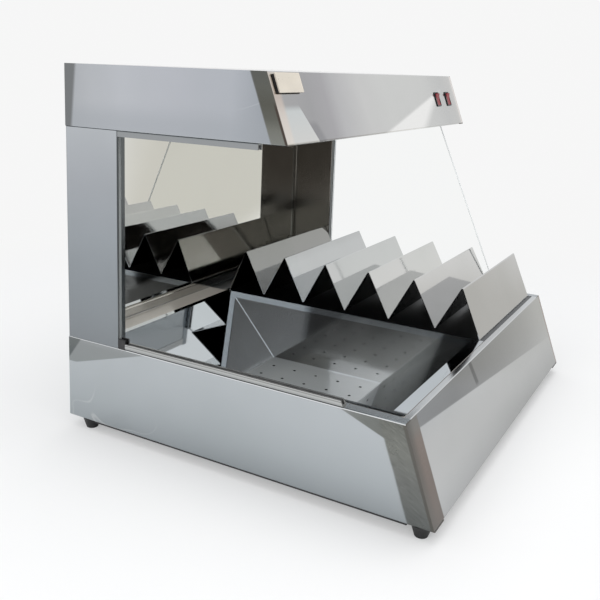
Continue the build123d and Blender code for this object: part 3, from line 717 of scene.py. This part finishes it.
@dataclass(frozen=True)
class FloorPaper:
    """The pale studio floor: real paper near the part, and the plain room further out."""

    name: str = "studio_paper"
    colour: Colour = (0.86, 0.86, 0.86)
    mirrored_left: Colour = (0.96, 0.95, 0.94)
    mirrored_right: Colour = (0.70, 0.69, 0.67)
    backdrop: Colour = (0.925, 0.925, 0.925)
    clear_from: float = 0.75
    clear_to: float = 1.7
    lift: float = 0.35

    def make(self) -> bpy.types.Material:
        """Builds the material.

        Returns:
            The material.
        """
        g = Graph.material(self.name)
        reach = (g.x * g.x + g.y * g.y) ** 0.5
        # painted reflection: mirrored rays see the floor lighter on the left and darker on the
        # right
        side = g.along((0.86, -0.5, 0.0)).smooth(-0.6, 0.6)
        mirrored = g.blend(side, self.mirrored_left, self.mirrored_right)
        tone = g.blend(g.mirrored, self.colour, mirrored)
        paper = g.surface(Base_Color=tone, Roughness=0.9, Specular_IOR_Level=0.1)
        plain = g.glow("Emission", self.backdrop)
        room = g.glow("Emission", Room().colour(g, g.x / reach, g.y / reach, 0.0))
        far = g.mixed(g.seen, room, plain)
        away = reach.smooth(self.clear_from, self.clear_to) * g.seen.most(g.mirrored)
        fade = away.most(g.seen * self.lift)
        return g.finish(g.mixed(fade, paper, far))


# ---- meshes ---------------------------------------------------------------------------------


def piece_from_rings(name: str, points: np.ndarray) -> bpy.types.Object:
    """Turns rows of rings into one mesh object.

    Ring i and point j meet the next ring and point in one four-sided face, and the last point of
    a ring meets its first. The rings at a row's two ends close it where they shrink to a point.

    Args:
        name: The piece's name.
        points: (rows, rings, points in a ring, 3), in metres.

    Returns:
        The linked object, at the origin.
    """
    index = np.arange(points[..., 0].size).reshape(points.shape[:3])
    right = np.roll(index, -1, axis=2)
    around = (index[:, :-1], right[:, :-1], right[:, 1:], index[:, 1:])
    return piece_from_arrays(name, points.reshape(-1, 3), np.stack(around, axis=-1).reshape(-1, 4))


def piece_from_arrays(name: str, vertices: np.ndarray, faces: np.ndarray) -> bpy.types.Object:
    """Makes a smooth-shaded object of four-sided faces from arrays.

    Args:
        name: The piece's name.
        vertices: (n, 3) places in metres.
        faces: (m, 4) vertex numbers, outwards by the right-hand rule.

    Returns:
        The linked object, at the origin.
    """
    mesh = bpy.data.meshes.new(name)
    mesh.from_pydata(vertices.tolist(), [], faces.tolist())
    mesh.update()
    mesh.polygons.foreach_set("use_smooth", np.full(len(faces), True))
    made = bpy.data.objects.new(name, mesh)
    bpy.context.scene.collection.objects.link(made)
    return made


def dress(finish: Finish, *nodes: str) -> None:
    """Gives CAD nodes a finish in every slot.

    Args:
        finish: The finish.
        nodes: Names of CAD nodes.
    """
    material = finish.make()
    for name in nodes:
        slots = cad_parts[name].data.materials
        if not slots:
            slots.append(material)
        for i in range(len(slots)):
            slots[i] = material
        LOG.info("dressed %s with %s", name, material.name)


def attach(piece: bpy.types.Object, finish: Finish, body: str) -> None:
    """Finishes a new piece: material, body and slot.

    Args:
        piece: The new object.
        finish: Its finish.
        body: The body that it moves with.
    """
    piece.data.materials.append(finish.make())
    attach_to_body(piece, body)
    LOG.info("built %s, %d vertices", piece.name, len(piece.data.vertices))


# ---- sub-assemblies -------------------------------------------------------------------------


@dataclass
class Outline:
    """The body's main levels and faces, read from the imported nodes."""

    end: float = field(init=False)
    base_foot: float = field(init=False)
    deck: float = field(init=False)
    base_front: float = field(init=False)
    canopy_foot: float = field(init=False)
    canopy_top: float = field(init=False)
    canopy_front: float = field(init=False)
    base_lean: float = 0.054
    canopy_lean: float = 0.040

    def __post_init__(self) -> None:
        """Reads the boxes of two nodes."""
        low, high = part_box("base_right_side")
        self.end, self.base_foot, self.deck, self.base_front = high[0], low[2], high[2], low[1]
        low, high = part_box("canopy_right_end")
        self.canopy_foot, self.canopy_top, self.canopy_front = low[2], high[2], low[1]

    def base_slope(self) -> Plane:
        """The base's sloped face."""
        return sloped(self.base_front, self.base_foot, self.base_front + self.base_lean, self.deck)

    def canopy_slope(self) -> Plane:
        """The canopy's sloped face."""
        return sloped(self.canopy_front, self.canopy_foot, self.canopy_front + self.canopy_lean,
                      self.canopy_top)


@dataclass
class BaseCasing:
    """The base's ends, front, rear, deck, feet and edge seals."""

    outline: Outline
    side_band: float = 0.0385
    side_line: float = 0.0045
    top_highlight: float = 0.0016
    front_band: float = 0.042
    left_line: float = 0.014
    right_line: float = 0.007
    pan_end: float = 0.014

    def side(self) -> SheetSteel:
        """The ends: plain sheet, a ground weld along the slope and shades in the upper corners.

        Returns:
            The finish.
        """
        normal, offset = self.outline.base_slope()
        low, high = self.outline.base_foot, self.outline.deck
        rear_shade = Patch(
            (Edge((0.0, 0.276, 0.961), 0.2090, 0.0012), Edge(UP, 0.124, 0.001)), RIGHT,
            tones((0.0, 135, 140, 141), (0.8, 138, 142, 143), (1.0, 146, 150, 151)),
            (0.12, high), both=True)
        # painted shade: a small darker corner at the rear top
        rear_corner_shade = Patch(
            (Edge((0.0, 0.8, 0.6), 0.8 * 0.328 + 0.6 * 0.150, 0.002),), RIGHT,
            tones((0.0, 96, 101, 102), (1.0, 108, 112, 112)), (0.14, high), both=True)
        front_shade = Patch(
            (Edge((0.0, -0.36, 0.933), 0.2296, 0.0012),), RIGHT,
            tones((0.0, 108, 110, 106), (0.5, 115, 118, 116), (1.0, 142, 145, 146)),
            (-0.30, -0.17), REAR, both=True, strokes=0.3)
        weld = Patch(
            (beside(normal, offset, self.side_band, 0.0022),), RIGHT,
            tones((0.0, 106, 109, 108), (0.45, 112, 114, 112), (0.75, 118, 120, 116),
                  (1.0, 108, 110, 106)),
            (low, high), both=True, strokes=0.9, roughness=0.10, wander=1.6)
        weld_line = Patch(
            (beside(normal, offset, self.side_line, 0.0012),), RIGHT, one_tone(92, 90, 86),
            both=True, strength=0.85)
        # painted highlight: a light line along the top edge
        top_highlight = Patch(
            (Edge(UP, high - self.top_highlight, 0.0004),), RIGHT, flat((0.80, 0.81, 0.81)), both=True)
        cut_edge = Patch((), FRONT, one_tone(96, 92, 87), roughness=0.1)
        # painted shade: the stops darken the ends towards the bottom
        return SheetSteel(
            "base_side_steel", Grain.ALONG_Y, reach=(low, high), roughness=0.16,
            stops=tones((0.0, 160, 166, 170), (0.3, 167, 173, 177), (1.0, 174, 179, 183)),
            patches=(rear_shade, rear_corner_shade, front_shade, weld, weld_line, top_highlight, cut_edge))

    def front(self) -> SheetSteel:
        """The front: plain sheet, a ground weld at each end, a shade under the deck's edge.

        Returns:
            The finish.
        """
        end, low, high = self.outline.end, self.outline.base_foot, self.outline.deck
        shade = Patch(
            (Edge((0.094, 0.0, 0.9956), 0.1164, 0.0014),), FRONT,
            tones((0.0, 148, 150, 152), (0.2, 134, 136, 138), (0.5, 148, 150, 152),
                  (0.8, 168, 170, 172), (1.0, 188, 190, 192)), (-0.35, 0.36), RIGHT)
        # painted reflection: a narrow dark slanted stripe on the front
        stripe = Patch(
            (Edge((0.96, 0.0, 0.28), -0.96 * 0.110 + 0.28 * 0.150, 0.002),
             Edge((-0.96, 0.0, -0.28), 0.96 * 0.096 - 0.28 * 0.150, 0.002), Edge(UP, 0.131, 0.004)),
            FRONT, one_tone(100, 102, 104))
        weld = Patch(
            (beside(RIGHT, -end, self.front_band, 0.0015),), FRONT,
            tones((0.0, 110, 104, 100), (0.35, 120, 110, 105), (0.8, 138, 127, 121),
                  (0.9, 136, 133, 129), (1.0, 132, 130, 127)),
            (low, high), strokes=0.2, roughness=0.08, wander=1.0)
        left_line = Patch(
            (beside(RIGHT, -end, self.left_line, 0.012),), FRONT, one_tone(100, 98, 95),
            strength=0.8)
        right_line = Patch(
            (beside(LEFT, -end, self.right_line, 0.002),), FRONT, one_tone(176, 165, 162))
        # painted shade: the stops darken the front towards the bottom
        return SheetSteel(
            "base_front_steel", Grain.ALONG_X, reach=(low, high), roughness=0.14, sway=0.0008,
            stops=tones((0.0, 173, 175, 177), (0.35, 194, 196, 198), (0.65, 200, 202, 204),
                        (1.0, 203, 205, 207)),
            patches=(shade, stripe, weld, left_line, right_line))

    def build(self) -> None:
        """Dresses the base: deck dull beside the pan, a dark mirror under the rack as painted
        shade.
        """
        dress(self.side(), "base_left_side", "base_right_side")
        dress(self.front(), "base_front_panel")
        dress(SheetSteel("casing_steel", Grain.ALONG_X),
              "base_rear_panel", "rear_panel", "bottom_cover", "canopy_rear_cover")
        # painted shade: the deck is toned nearly black under the rack
        under_rack_shade = Patch(
            (Edge(RIGHT, self.pan_end),), UP, flat((0.105, 0.110, 0.115)), roughness=0.25)
        dress(SheetSteel("deck_steel", Grain.ALONG_X, roughness=0.12,
                         stops=flat((0.56, 0.55, 0.53)), patches=(under_rack_shade,),
                         dull=Dull(UP, 0.6, (0.66, 0.61, 0.55), (Edge(LEFT, -self.pan_end),))),
              "deck_plate")
        dress(SheetSteel("rail_steel", Grain.ALONG_X, roughness=0.12), "deck_rail")
        dress(Moulded("foot_rubber", (0.008, 0.008, 0.009), 0.5, dust=0.06, scale=700.0),
              "foot_front_left", "foot_front_right", "foot_rear_left", "foot_rear_right",
              "base_edge_seals", "conduit_grommets")
        dress(SheetSteel("screw_steel", Grain.ALONG_X, roughness=0.28, sway=0.0),
              "foot_screws", "foot_nuts", "bottom_cover_screws", "rear_cover_screws")


@dataclass
class HopperAndRack:
    """The pierced pan and the zigzag rack."""

    slope: Plane = ((0.0, -0.7493, 0.6622), -0.0920)
    slope_crease: float = 0.0012
    floor: Plane = (UP, 0.041)
    floor_crease: float = 0.0014
    dull_top: float = 0.046
    hem_foot: float = 0.1575
    rack_reach: tuple[float, float] = (-0.30, 0.30)

    def pan(self) -> SheetSteel:
        """The pan: painted shade on its end walls, painted highlights where its walls meet, a
        part-dull floor.

        Returns:
            The finish.
        """
        # painted shade: both end walls are toned darker than the pan
        near_end_shade = Patch((), RIGHT, flat((0.15, 0.15, 0.15)))
        far_end_shade = Patch(
            (), LEFT,
            ((0.0, (0.17, 0.166, 0.162)), (0.6, (0.27, 0.267, 0.263)), (1.0, (0.72, 0.72, 0.70))),
            (-0.24, 0.01), (0.0, -0.5, -0.87), roughness=0.05)
        # painted highlights: light lines along the folds
        crease_highlights = tuple(
            Patch((beside(*plane, width, 0.0004),), RIGHT, flat((0.85, 0.86, 0.87)), both=True)
            for plane, width in ((self.slope, self.slope_crease), (self.floor, self.floor_crease)))
        hem = Patch((Edge(UP, self.hem_foot, 0.0004),), RIGHT, flat((0.50, 0.52, 0.54)), both=True)
        return SheetSteel(
            "pan_steel", Grain.ALONG_X, stops=flat((0.56, 0.59, 0.62)), roughness=0.028, spread=0.0,
            sway=0.00025, grain_depth=0.0, patches=(near_end_shade, far_end_shade, *crease_highlights, hem),
            dull=Dull(UP, 0.38, (0.66, 0.69, 0.70), (Edge(DOWN, -self.dull_top),)))

    def rack(self) -> SheetSteel:
        """The rack: tones that change from ridge to ridge, and painted shade on the faces that look
        down.

        Returns:
            The finish.
        """
        grey = tuple((place, (red, green, blue)) for place, red, green, blue in (
            (0.0, 0.54, 0.54, 0.55), (0.15, 0.56, 0.56, 0.56), (0.35, 0.64, 0.64, 0.63),
            (0.55, 0.57, 0.58, 0.58), (0.72, 0.53, 0.54, 0.55), (0.80, 0.34, 0.34, 0.34),
            (0.90, 0.30, 0.30, 0.29), (1.0, 0.46, 0.46, 0.46)))
        # painted shade: the faces that look down are toned nearly black
        underside_shades = tuple(Patch((), (0.0, side, -0.6), flat((0.022, 0.025, 0.028)), roughness=0.15)
                           for side in (0.8, -0.8))
        return SheetSteel("rack_steel", Grain.ALONG_X, roughness=0.07, spread=0.04, sway=0.0003,
                          grain_depth=0.000005, axis=REAR, reach=self.rack_reach, stops=grey,
                          patches=underside_shades)

    def build(self) -> None:
        """Dresses the pan, the crumb tray and the rack."""
        dress(self.pan(), "hopper_pan")
        dress(SheetSteel("tray_steel", Grain.ALONG_X, stops=flat((0.10, 0.10, 0.10))),
              "crumb_tray", "crumb_tray_rim")
        dress(self.rack(), "packet_rack")


@dataclass
class ColumnsAndMirror:
    """The two box columns and the mirror with its channels."""

    outline: Outline
    outer_skin: float = 0.385

    def build(self) -> None:
        """Dresses the columns, with painted shade low down, inside and on the front, and the
        mirror.
        """
        reach = (self.outline.deck, self.outline.canopy_foot)
        # painted shade: the faces that look inside the chamber are darker
        inside = Patch(
            (Edge(LEFT, -self.outer_skin), Edge(RIGHT, -self.outer_skin)), RIGHT,
            ((0.0, (0.27, 0.26, 0.235)), (0.5, (0.46, 0.43, 0.39)), (1.0, (0.44, 0.41, 0.37))),
            reach, both=True)
        # painted shade: the front-facing faces are darker
        column_front_shade = Patch((), FRONT, one_tone(104, 107, 108))
        # painted shade: the outer faces darken towards the bottom
        outside = tones((0.0, 127, 132, 136), (0.2, 139, 145, 149), (0.5, 155, 161, 165),
                        (0.75, 167, 171, 175), (1.0, 181, 185, 188))
        dress(SheetSteel("column_steel", Grain.ALONG_Z, reach=reach, roughness=0.15,
                         stops=outside, patches=(inside, column_front_shade)), "left_column", "right_column")
        dress(MirrorPlate(), "mirror_panel")
        dress(SheetSteel("channel_steel", Grain.ALONG_X, roughness=0.14, sway=0.0002,
                         stops=flat((0.58, 0.58, 0.56))),
              "mirror_bottom_channel", "mirror_side_channels")


@dataclass
class Canopy:
    """The canopy's shell, ends and underside."""

    outline: Outline
    side_band: float = 0.0262
    side_line: float = 0.0035
    side_reach: tuple[float, float] = (-0.10, 0.343)
    left_band: float = 0.022
    right_line: float = 0.007
    sheen: Plane = ((-0.844, 0.0, -0.537), -0.0400)
    sheen_border: float = 0.020

    def side(self) -> SheetSteel:
        """The ends: painted brighter to the rear, a ground weld along the slope, a darker band
        along the back.

        Returns:
            The finish.
        """
        normal, offset = self.outline.canopy_slope()
        low, high = self.outline.canopy_foot, self.outline.canopy_top
        foot_shade = Patch(
            (Edge(DOWN, -0.578, 0.02),), RIGHT, one_tone(163, 168, 172), both=True, strength=0.55)
        # a darker band along the back edge
        rear_band = Patch(
            (Edge((0.0, 0.995, 0.10), 0.3815, 0.004),), RIGHT, one_tone(112, 114, 114),
            both=True, strength=0.9)
        weld = Patch(
            (beside(normal, offset, self.side_band, 0.0016),), RIGHT,
            tones((0.0, 130, 132, 126), (0.2, 120, 121, 114), (0.35, 100, 101, 94),
                  (0.55, 92, 92, 85), (0.8, 98, 99, 93), (1.0, 95, 96, 92)),
            (low, high), both=True, strokes=0.12, roughness=0.08, wander=0.6)
        weld_line = Patch(
            (beside(normal, offset, self.side_line, 0.001), Edge(DOWN, -0.602, 0.006)), RIGHT,
            one_tone(78, 70, 64), both=True)
        cut_edge = Patch((), FRONT, one_tone(100, 95, 88), roughness=0.1)
        # painted light: the stops make the ends brighter towards the rear
        return SheetSteel(
            "canopy_side_steel", Grain.ALONG_Y, axis=REAR, reach=self.side_reach, roughness=0.16,
            stops=tones((0.0, 150, 155, 160), (0.10, 158, 163, 168), (0.23, 178, 182, 187),
                        (0.45, 183, 186, 191), (0.72, 187, 190, 194), (0.88, 182, 185, 188),
                        (1.0, 172, 175, 178)),
            patches=(foot_shade, rear_band, weld, weld_line, cut_edge))

    def front(self) -> SheetSteel:
        """The shell: a front painted brighter to one end, a painted highlight and reflection at the
        other.

        Returns:
            The finish.
        """
        end, low, high = self.outline.end, self.outline.canopy_foot, self.outline.canopy_top
        lean, place = self.sheen
        # painted highlight: a near-white wedge on the shell
        white_highlight = Patch(
            (Edge((0.2132, 0.0, -0.977), -0.5404, 0.004), Edge((-0.49, 0.0, 0.872), 0.3968, 0.014)),
            FRONT, one_tone(236, 236, 236))
        # painted shade: a dark border beside the painted reflection
        border = Patch(
            (Edge(flipped(lean), -place, 0.0012), Edge(lean, place - self.sheen_border, 0.007),
             Edge(DOWN, -0.574, 0.006)), FRONT, one_tone(141, 141, 145), strength=0.85)
        # painted reflection: a bright patch on the shell
        sheen = Patch(
            (Edge(lean, place, 0.0012), Edge(DOWN, -0.597, 0.006)), FRONT,
            tones((0.0, 210, 210, 209), (1.0, 200, 205, 207)), (low, 0.60))
        weld = Patch(
            (beside(RIGHT, -end, self.left_band, 0.006),), FRONT,
            tones((0.0, 222, 216, 210), (0.35, 216, 207, 200), (0.65, 198, 185, 177),
                  (1.0, 206, 200, 193)),
            (low, high), strength=0.85, strokes=0.08)
        right_line = Patch(
            (beside(LEFT, -end, self.right_line, 0.002),), FRONT, one_tone(234, 226, 223))
        # painted light: the stops vary the front's brightness along its length
        return SheetSteel(
            "canopy_front_steel", Grain.ALONG_X, axis=RIGHT, reach=(-end, end), roughness=0.14,
            sway=0.0008,
            stops=tones((0.0, 168, 168, 169), (0.125, 161, 161, 164), (0.2, 168, 167, 171),
                        (0.25, 184, 184, 187), (0.375, 199, 199, 200), (0.5, 201, 202, 202),
                        (0.75, 198, 199, 199), (0.90, 186, 187, 188), (0.97, 190, 190, 190),
                        (1.0, 205, 203, 203)),
            patches=(white_highlight, border, sheen, weld, right_line))

    def build(self) -> None:
        """Dresses the canopy."""
        dress(self.side(), "canopy_left_end", "canopy_right_end")
        dress(self.front(), "canopy_shell")
        dress(SheetSteel("canopy_liner_steel", Grain.ALONG_X), "canopy_underside")


@dataclass
class OverheadHeater:
    """The reflector, the quartz tubes with their coils, the holders and the guard."""

    coil_radius: float = 0.0026
    wire_radius: float = 0.00035
    coil_turns: int = 110
    steps_per_turn: int = 9
    coil_margin: float = 0.016

    def build(self) -> None:
        """Dresses the heater and winds a coil into each tube."""
        dress(SheetSteel("reflector_bright", Grain.ALONG_X, stops=flat((0.80, 0.80, 0.79)),
                         roughness=0.12, sway=0.0002), "heater_reflector")
        dress(ClearPane("quartz", tint=(0.93, 0.93, 0.92), shine=0.8, smudges=0.15), "quartz_tubes")
        dress(Moulded("holder_ceramic", (0.80, 0.77, 0.70), 0.6, scale=500.0),
              "tube_holders", "element_ceramics")
        dress(Moulded("guard_wire", (0.62, 0.62, 0.61), 0.22, mottle=0.05, scale=600.0,
                      metallic=1.0), "heater_guard", "heater_guard_rails")
        coils = piece_from_rings("tube_coils", self.coils())
        attach(coils, Moulded("coil_wire", (0.30, 0.27, 0.24), 0.35, scale=2000.0, metallic=1.0),
               "casing")

    def coils(self) -> np.ndarray:
        """The wires of both coils.

        Each follows a helix about its tube's middle line: x runs evenly along the tube while the
        angle makes a whole number of turns.

        Returns:
            (2, n, 4, 3) points.
        """
        low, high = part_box("quartz_tubes")
        radius, middle_z = (high[2] - low[2]) / 2, (high[2] + low[2]) / 2
        start, length = low[0] + self.coil_margin, high[0] - low[0] - 2 * self.coil_margin
        turn = np.linspace(0.0, 1.0, self.coil_turns * self.steps_per_turn + 1)
        angle = turn * self.coil_turns * 2.0 * np.pi
        wires = []
        for y in (low[1] + radius, high[1] - radius):
            path = np.stack([start + turn * length, y + self.coil_radius * np.cos(angle),
                             middle_z + self.coil_radius * np.sin(angle)], axis=1)
            wires.append(self.wire(path, np.array([0.0, y, middle_z])))
        return np.stack(wires)

    def wire(self, path: np.ndarray, axis: np.ndarray) -> np.ndarray:
        """The wire of a coil along X: each path point plus a small ring of two directions.

        The first direction points away from the coil's axis, the second is square to it and to
        the wire. The wire's two ends close to a point.

        Args:
            path: (n, 3) points of the helix.
            axis: A point on the coil's axis.

        Returns:
            (n, 4, 3) points.
        """
        outwards = (path - axis) * np.array([0.0, 1.0, 1.0])
        outwards /= np.linalg.norm(outwards, axis=1, keepdims=True)
        tangent = np.gradient(path, axis=0)
        tangent /= np.linalg.norm(tangent, axis=1, keepdims=True)
        across = np.cross(tangent, outwards)
        angle = np.arange(4) * np.pi / 2.0
        size = np.full(len(path), self.wire_radius)
        size[[0, -1]] = 0.0
        cosine, sine = np.cos(angle)[None, :, None], np.sin(angle)[None, :, None]
        ring = cosine * outwards[:, None] + sine * across[:, None]
        return path[:, None] + size[:, None, None] * ring


@dataclass
class SideGlass:
    """The two panes, their channels, gaskets and corner blocks."""

    outline: Outline
    channel_depth: float = 0.0095
    channel_reach: float = 0.0105

    def build(self) -> None:
        """Dresses the glass and what holds it; only the far pane shows a ground front edge."""
        low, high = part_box("left_glass")
        front = sloped(low[1], low[2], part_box("top_glass_channels")[0][1],
                       self.outline.canopy_foot - self.channel_depth)
        hidden = ((REAR, high[1]), (UP, low[2]), (UP, high[2]))
        # painted shade and highlight: the near pane's ground edges are toned dark and the far
        # pane's front edge light
        dress(ClearPane("pane_glass", hidden, edge=(0.20, 0.21, 0.21)), "left_glass")
        dress(ClearPane("pane_glass_ground", (*hidden, front), edge=(0.66, 0.68, 0.68)),
              "right_glass")
        # painted highlights and shade: light and dark lines across the channel's height
        lines = tones((0.0, 110, 111, 110), (0.2, 150, 152, 152), (0.55, 176, 178, 178),
                      (0.75, 132, 133, 132), (0.9, 186, 187, 187), (1.0, 150, 153, 154))
        deck = self.outline.deck
        dress(SheetSteel("glass_channel_steel", Grain.ALONG_Y, roughness=0.12, sway=0.0,
                         grain_depth=0.00004, stops=lines, reach=(deck, deck + self.channel_reach)),
              "bottom_glass_channels", "top_glass_channels")
        dress(Moulded("gasket_rubber", (0.10, 0.10, 0.10), 0.5, dust=0.1), "glass_gaskets")
        dress(Moulded("block_rubber", (0.012, 0.012, 0.013), 0.5, dust=0.1),
              "glass_corner_blocks", "nameplate_pad")


@dataclass
class FrontFittings:
    """The bare nameplate and the two rocker switches."""

    def build(self) -> None:
        """Dresses the nameplate and the switches."""
        dress(Moulded("plate_cream", (0.73, 0.67, 0.58), 0.30, mottle=0.12, scale=350.0,
                      metallic=0.55, relief=0.00001), "nameplate")
        dress(Moulded("bezel_black", (0.010, 0.010, 0.011), 0.3, scale=1200.0),
              "switch_base_heat", "switch_top_heat")
        dress(Moulded("paddle_red", (0.22, 0.004, 0.014), 0.42, mottle=0.3, scale=700.0),
              "paddle_base_heat", "paddle_top_heat")
        dress(Moulded("terminal_tin", (0.62, 0.58, 0.46), 0.3, metallic=1.0), "switch_terminals")


@dataclass
class InnerParts:
    """What sits inside the base and the columns: element, clips, terminals, gland and conduit."""

    def build(self) -> None:
        """Dresses the inner parts."""
        dress(Moulded("element_oxide", (0.13, 0.12, 0.11), 0.5, mottle=0.4, scale=400.0,
                      metallic=0.8), "bottom_element")
        dress(SheetSteel("clip_steel", Grain.ALONG_Y, roughness=0.28, sway=0.0),
              "element_clips", "element_end_bracket")
        dress(Moulded("gland_nylon", (0.02, 0.02, 0.021), 0.42, scale=800.0),
              "cable_gland", "gland_nut", "wiring_conduit")
        dress(Moulded("terminal_body", (0.70, 0.70, 0.66), 0.45, scale=600.0), "terminal_block")


# ---- studio ---------------------------------------------------------------------------------


@dataclass(frozen=True)
class SoftBox:
    """An area lamp that faces a target and that polished faces don't mirror."""

    name: str
    place: Triple
    target: Triple
    size: tuple[float, float]
    watts: float

    def build(self) -> None:
        """Adds the lamp."""
        data = bpy.data.lights.new(self.name, "AREA")
        data.shape, data.size, data.size_y = "RECTANGLE", self.size[0], self.size[1]
        data.energy = self.watts
        made = bpy.data.objects.new(self.name, data)
        made.location = self.place
        look = Vector(self.target) - Vector(self.place)
        made.rotation_euler = look.to_track_quat("-Z", "Y").to_euler()
        made.visible_glossy = False
        bpy.context.scene.collection.objects.link(made)


@dataclass
class Studio:
    """Floor, sky, soft lamps and the camera; angles are in degrees and the lens in millimetres."""

    place: Triple = (-1.3871, -0.6706, 0.6560)
    azimuth: float = -60.911
    elevation: float = 10.560
    roll: float = 2.151
    lens: float = 47.590
    sensor: float = 36.0
    shift_y: float = -0.14
    clip: tuple[float, float] = (0.05, 100.0)
    floor_half: float = 30.0
    lamps: tuple[SoftBox, ...] = (
        SoftBox("overhead_box", (0.2, -0.4, 2.6), (0.0, 0.0, 0.2), (2.4, 2.0), 17.0),
        SoftBox("front_box", (1.9, -2.4, 1.5), (0.0, 0.0, 0.3), (1.4, 1.0), 1.5),
        SoftBox("left_box", (-2.6, 0.4, 1.3), (0.0, 0.0, 0.3), (1.2, 1.2), 16.0),
        SoftBox("chamber_box", (-0.1, 0.0, 0.535), (-0.1, 0.0, 0.0), (0.5, 0.25), 1.2),
    )

    def camera(self) -> None:
        """Sets the camera at its place and direction."""
        angles = (self.azimuth, self.elevation, self.roll)
        turn, tilt, roll = (math.radians(angle) for angle in angles)
        back = Vector((math.sin(turn) * math.cos(tilt), -math.cos(turn) * math.cos(tilt),
                       math.sin(tilt)))
        right = (-back).cross(Vector(UP)).normalized()
        up = right.cross(-back)
        across = right * math.cos(roll) + up * math.sin(roll)
        rise = up * math.cos(roll) - right * math.sin(roll)
        data = bpy.data.cameras.new("studio_camera")
        data.lens, data.sensor_width, data.shift_y = self.lens, self.sensor, self.shift_y
        data.clip_start, data.clip_end = self.clip
        made = bpy.data.objects.new("studio_camera", data)
        turned = Matrix((across, rise, back)).transposed().to_4x4()
        made.matrix_world = Matrix.Translation(self.place) @ turned
        bpy.context.scene.collection.objects.link(made)
        bpy.context.scene.camera = made

    def sky(self) -> None:
        """A plain pale backdrop for the camera, and the room for everything else."""
        world = bpy.data.worlds.new("studio_sky")
        bpy.context.scene.world = world
        g = Graph(world)
        room = g.glow("Background", Room().colour(g, g.x, g.y, g.z))
        g.finish(g.mixed(g.seen, room, g.glow("Background", FloorPaper().backdrop)))

    def floor(self) -> None:
        """A wide level sheet under the feet."""
        square = np.array([(-1.0, -1.0, 0.0), (1.0, -1.0, 0.0), (1.0, 1.0, 0.0), (-1.0, 1.0, 0.0)])
        corners = self.floor_half * square
        piece = piece_from_arrays("studio_floor", corners, np.array([[0, 1, 2, 3]]))
        piece.data.materials.append(FloorPaper().make())

    def build(self) -> None:
        """Sets up the whole studio."""
        bpy.context.scene.view_settings.view_transform = "Standard"
        self.camera()
        self.sky()
        self.floor()
        for lamp in self.lamps:
            lamp.build()
        LOG.info("studio ready")


def main() -> None:
    """Builds the studio, then every sub-assembly in order."""
    logging.basicConfig(level=logging.INFO, format="%(name)s %(message)s")
    Studio().build()
    outline = Outline()
    for part in (BaseCasing(outline), HopperAndRack(), ColumnsAndMirror(outline), Canopy(outline),
                 OverheadHeater(), SideGlass(outline), FrontFittings(), InnerParts()):
        part.build()
        LOG.info("finished %s", type(part).__name__)


if __name__ == "__main__":
    main()
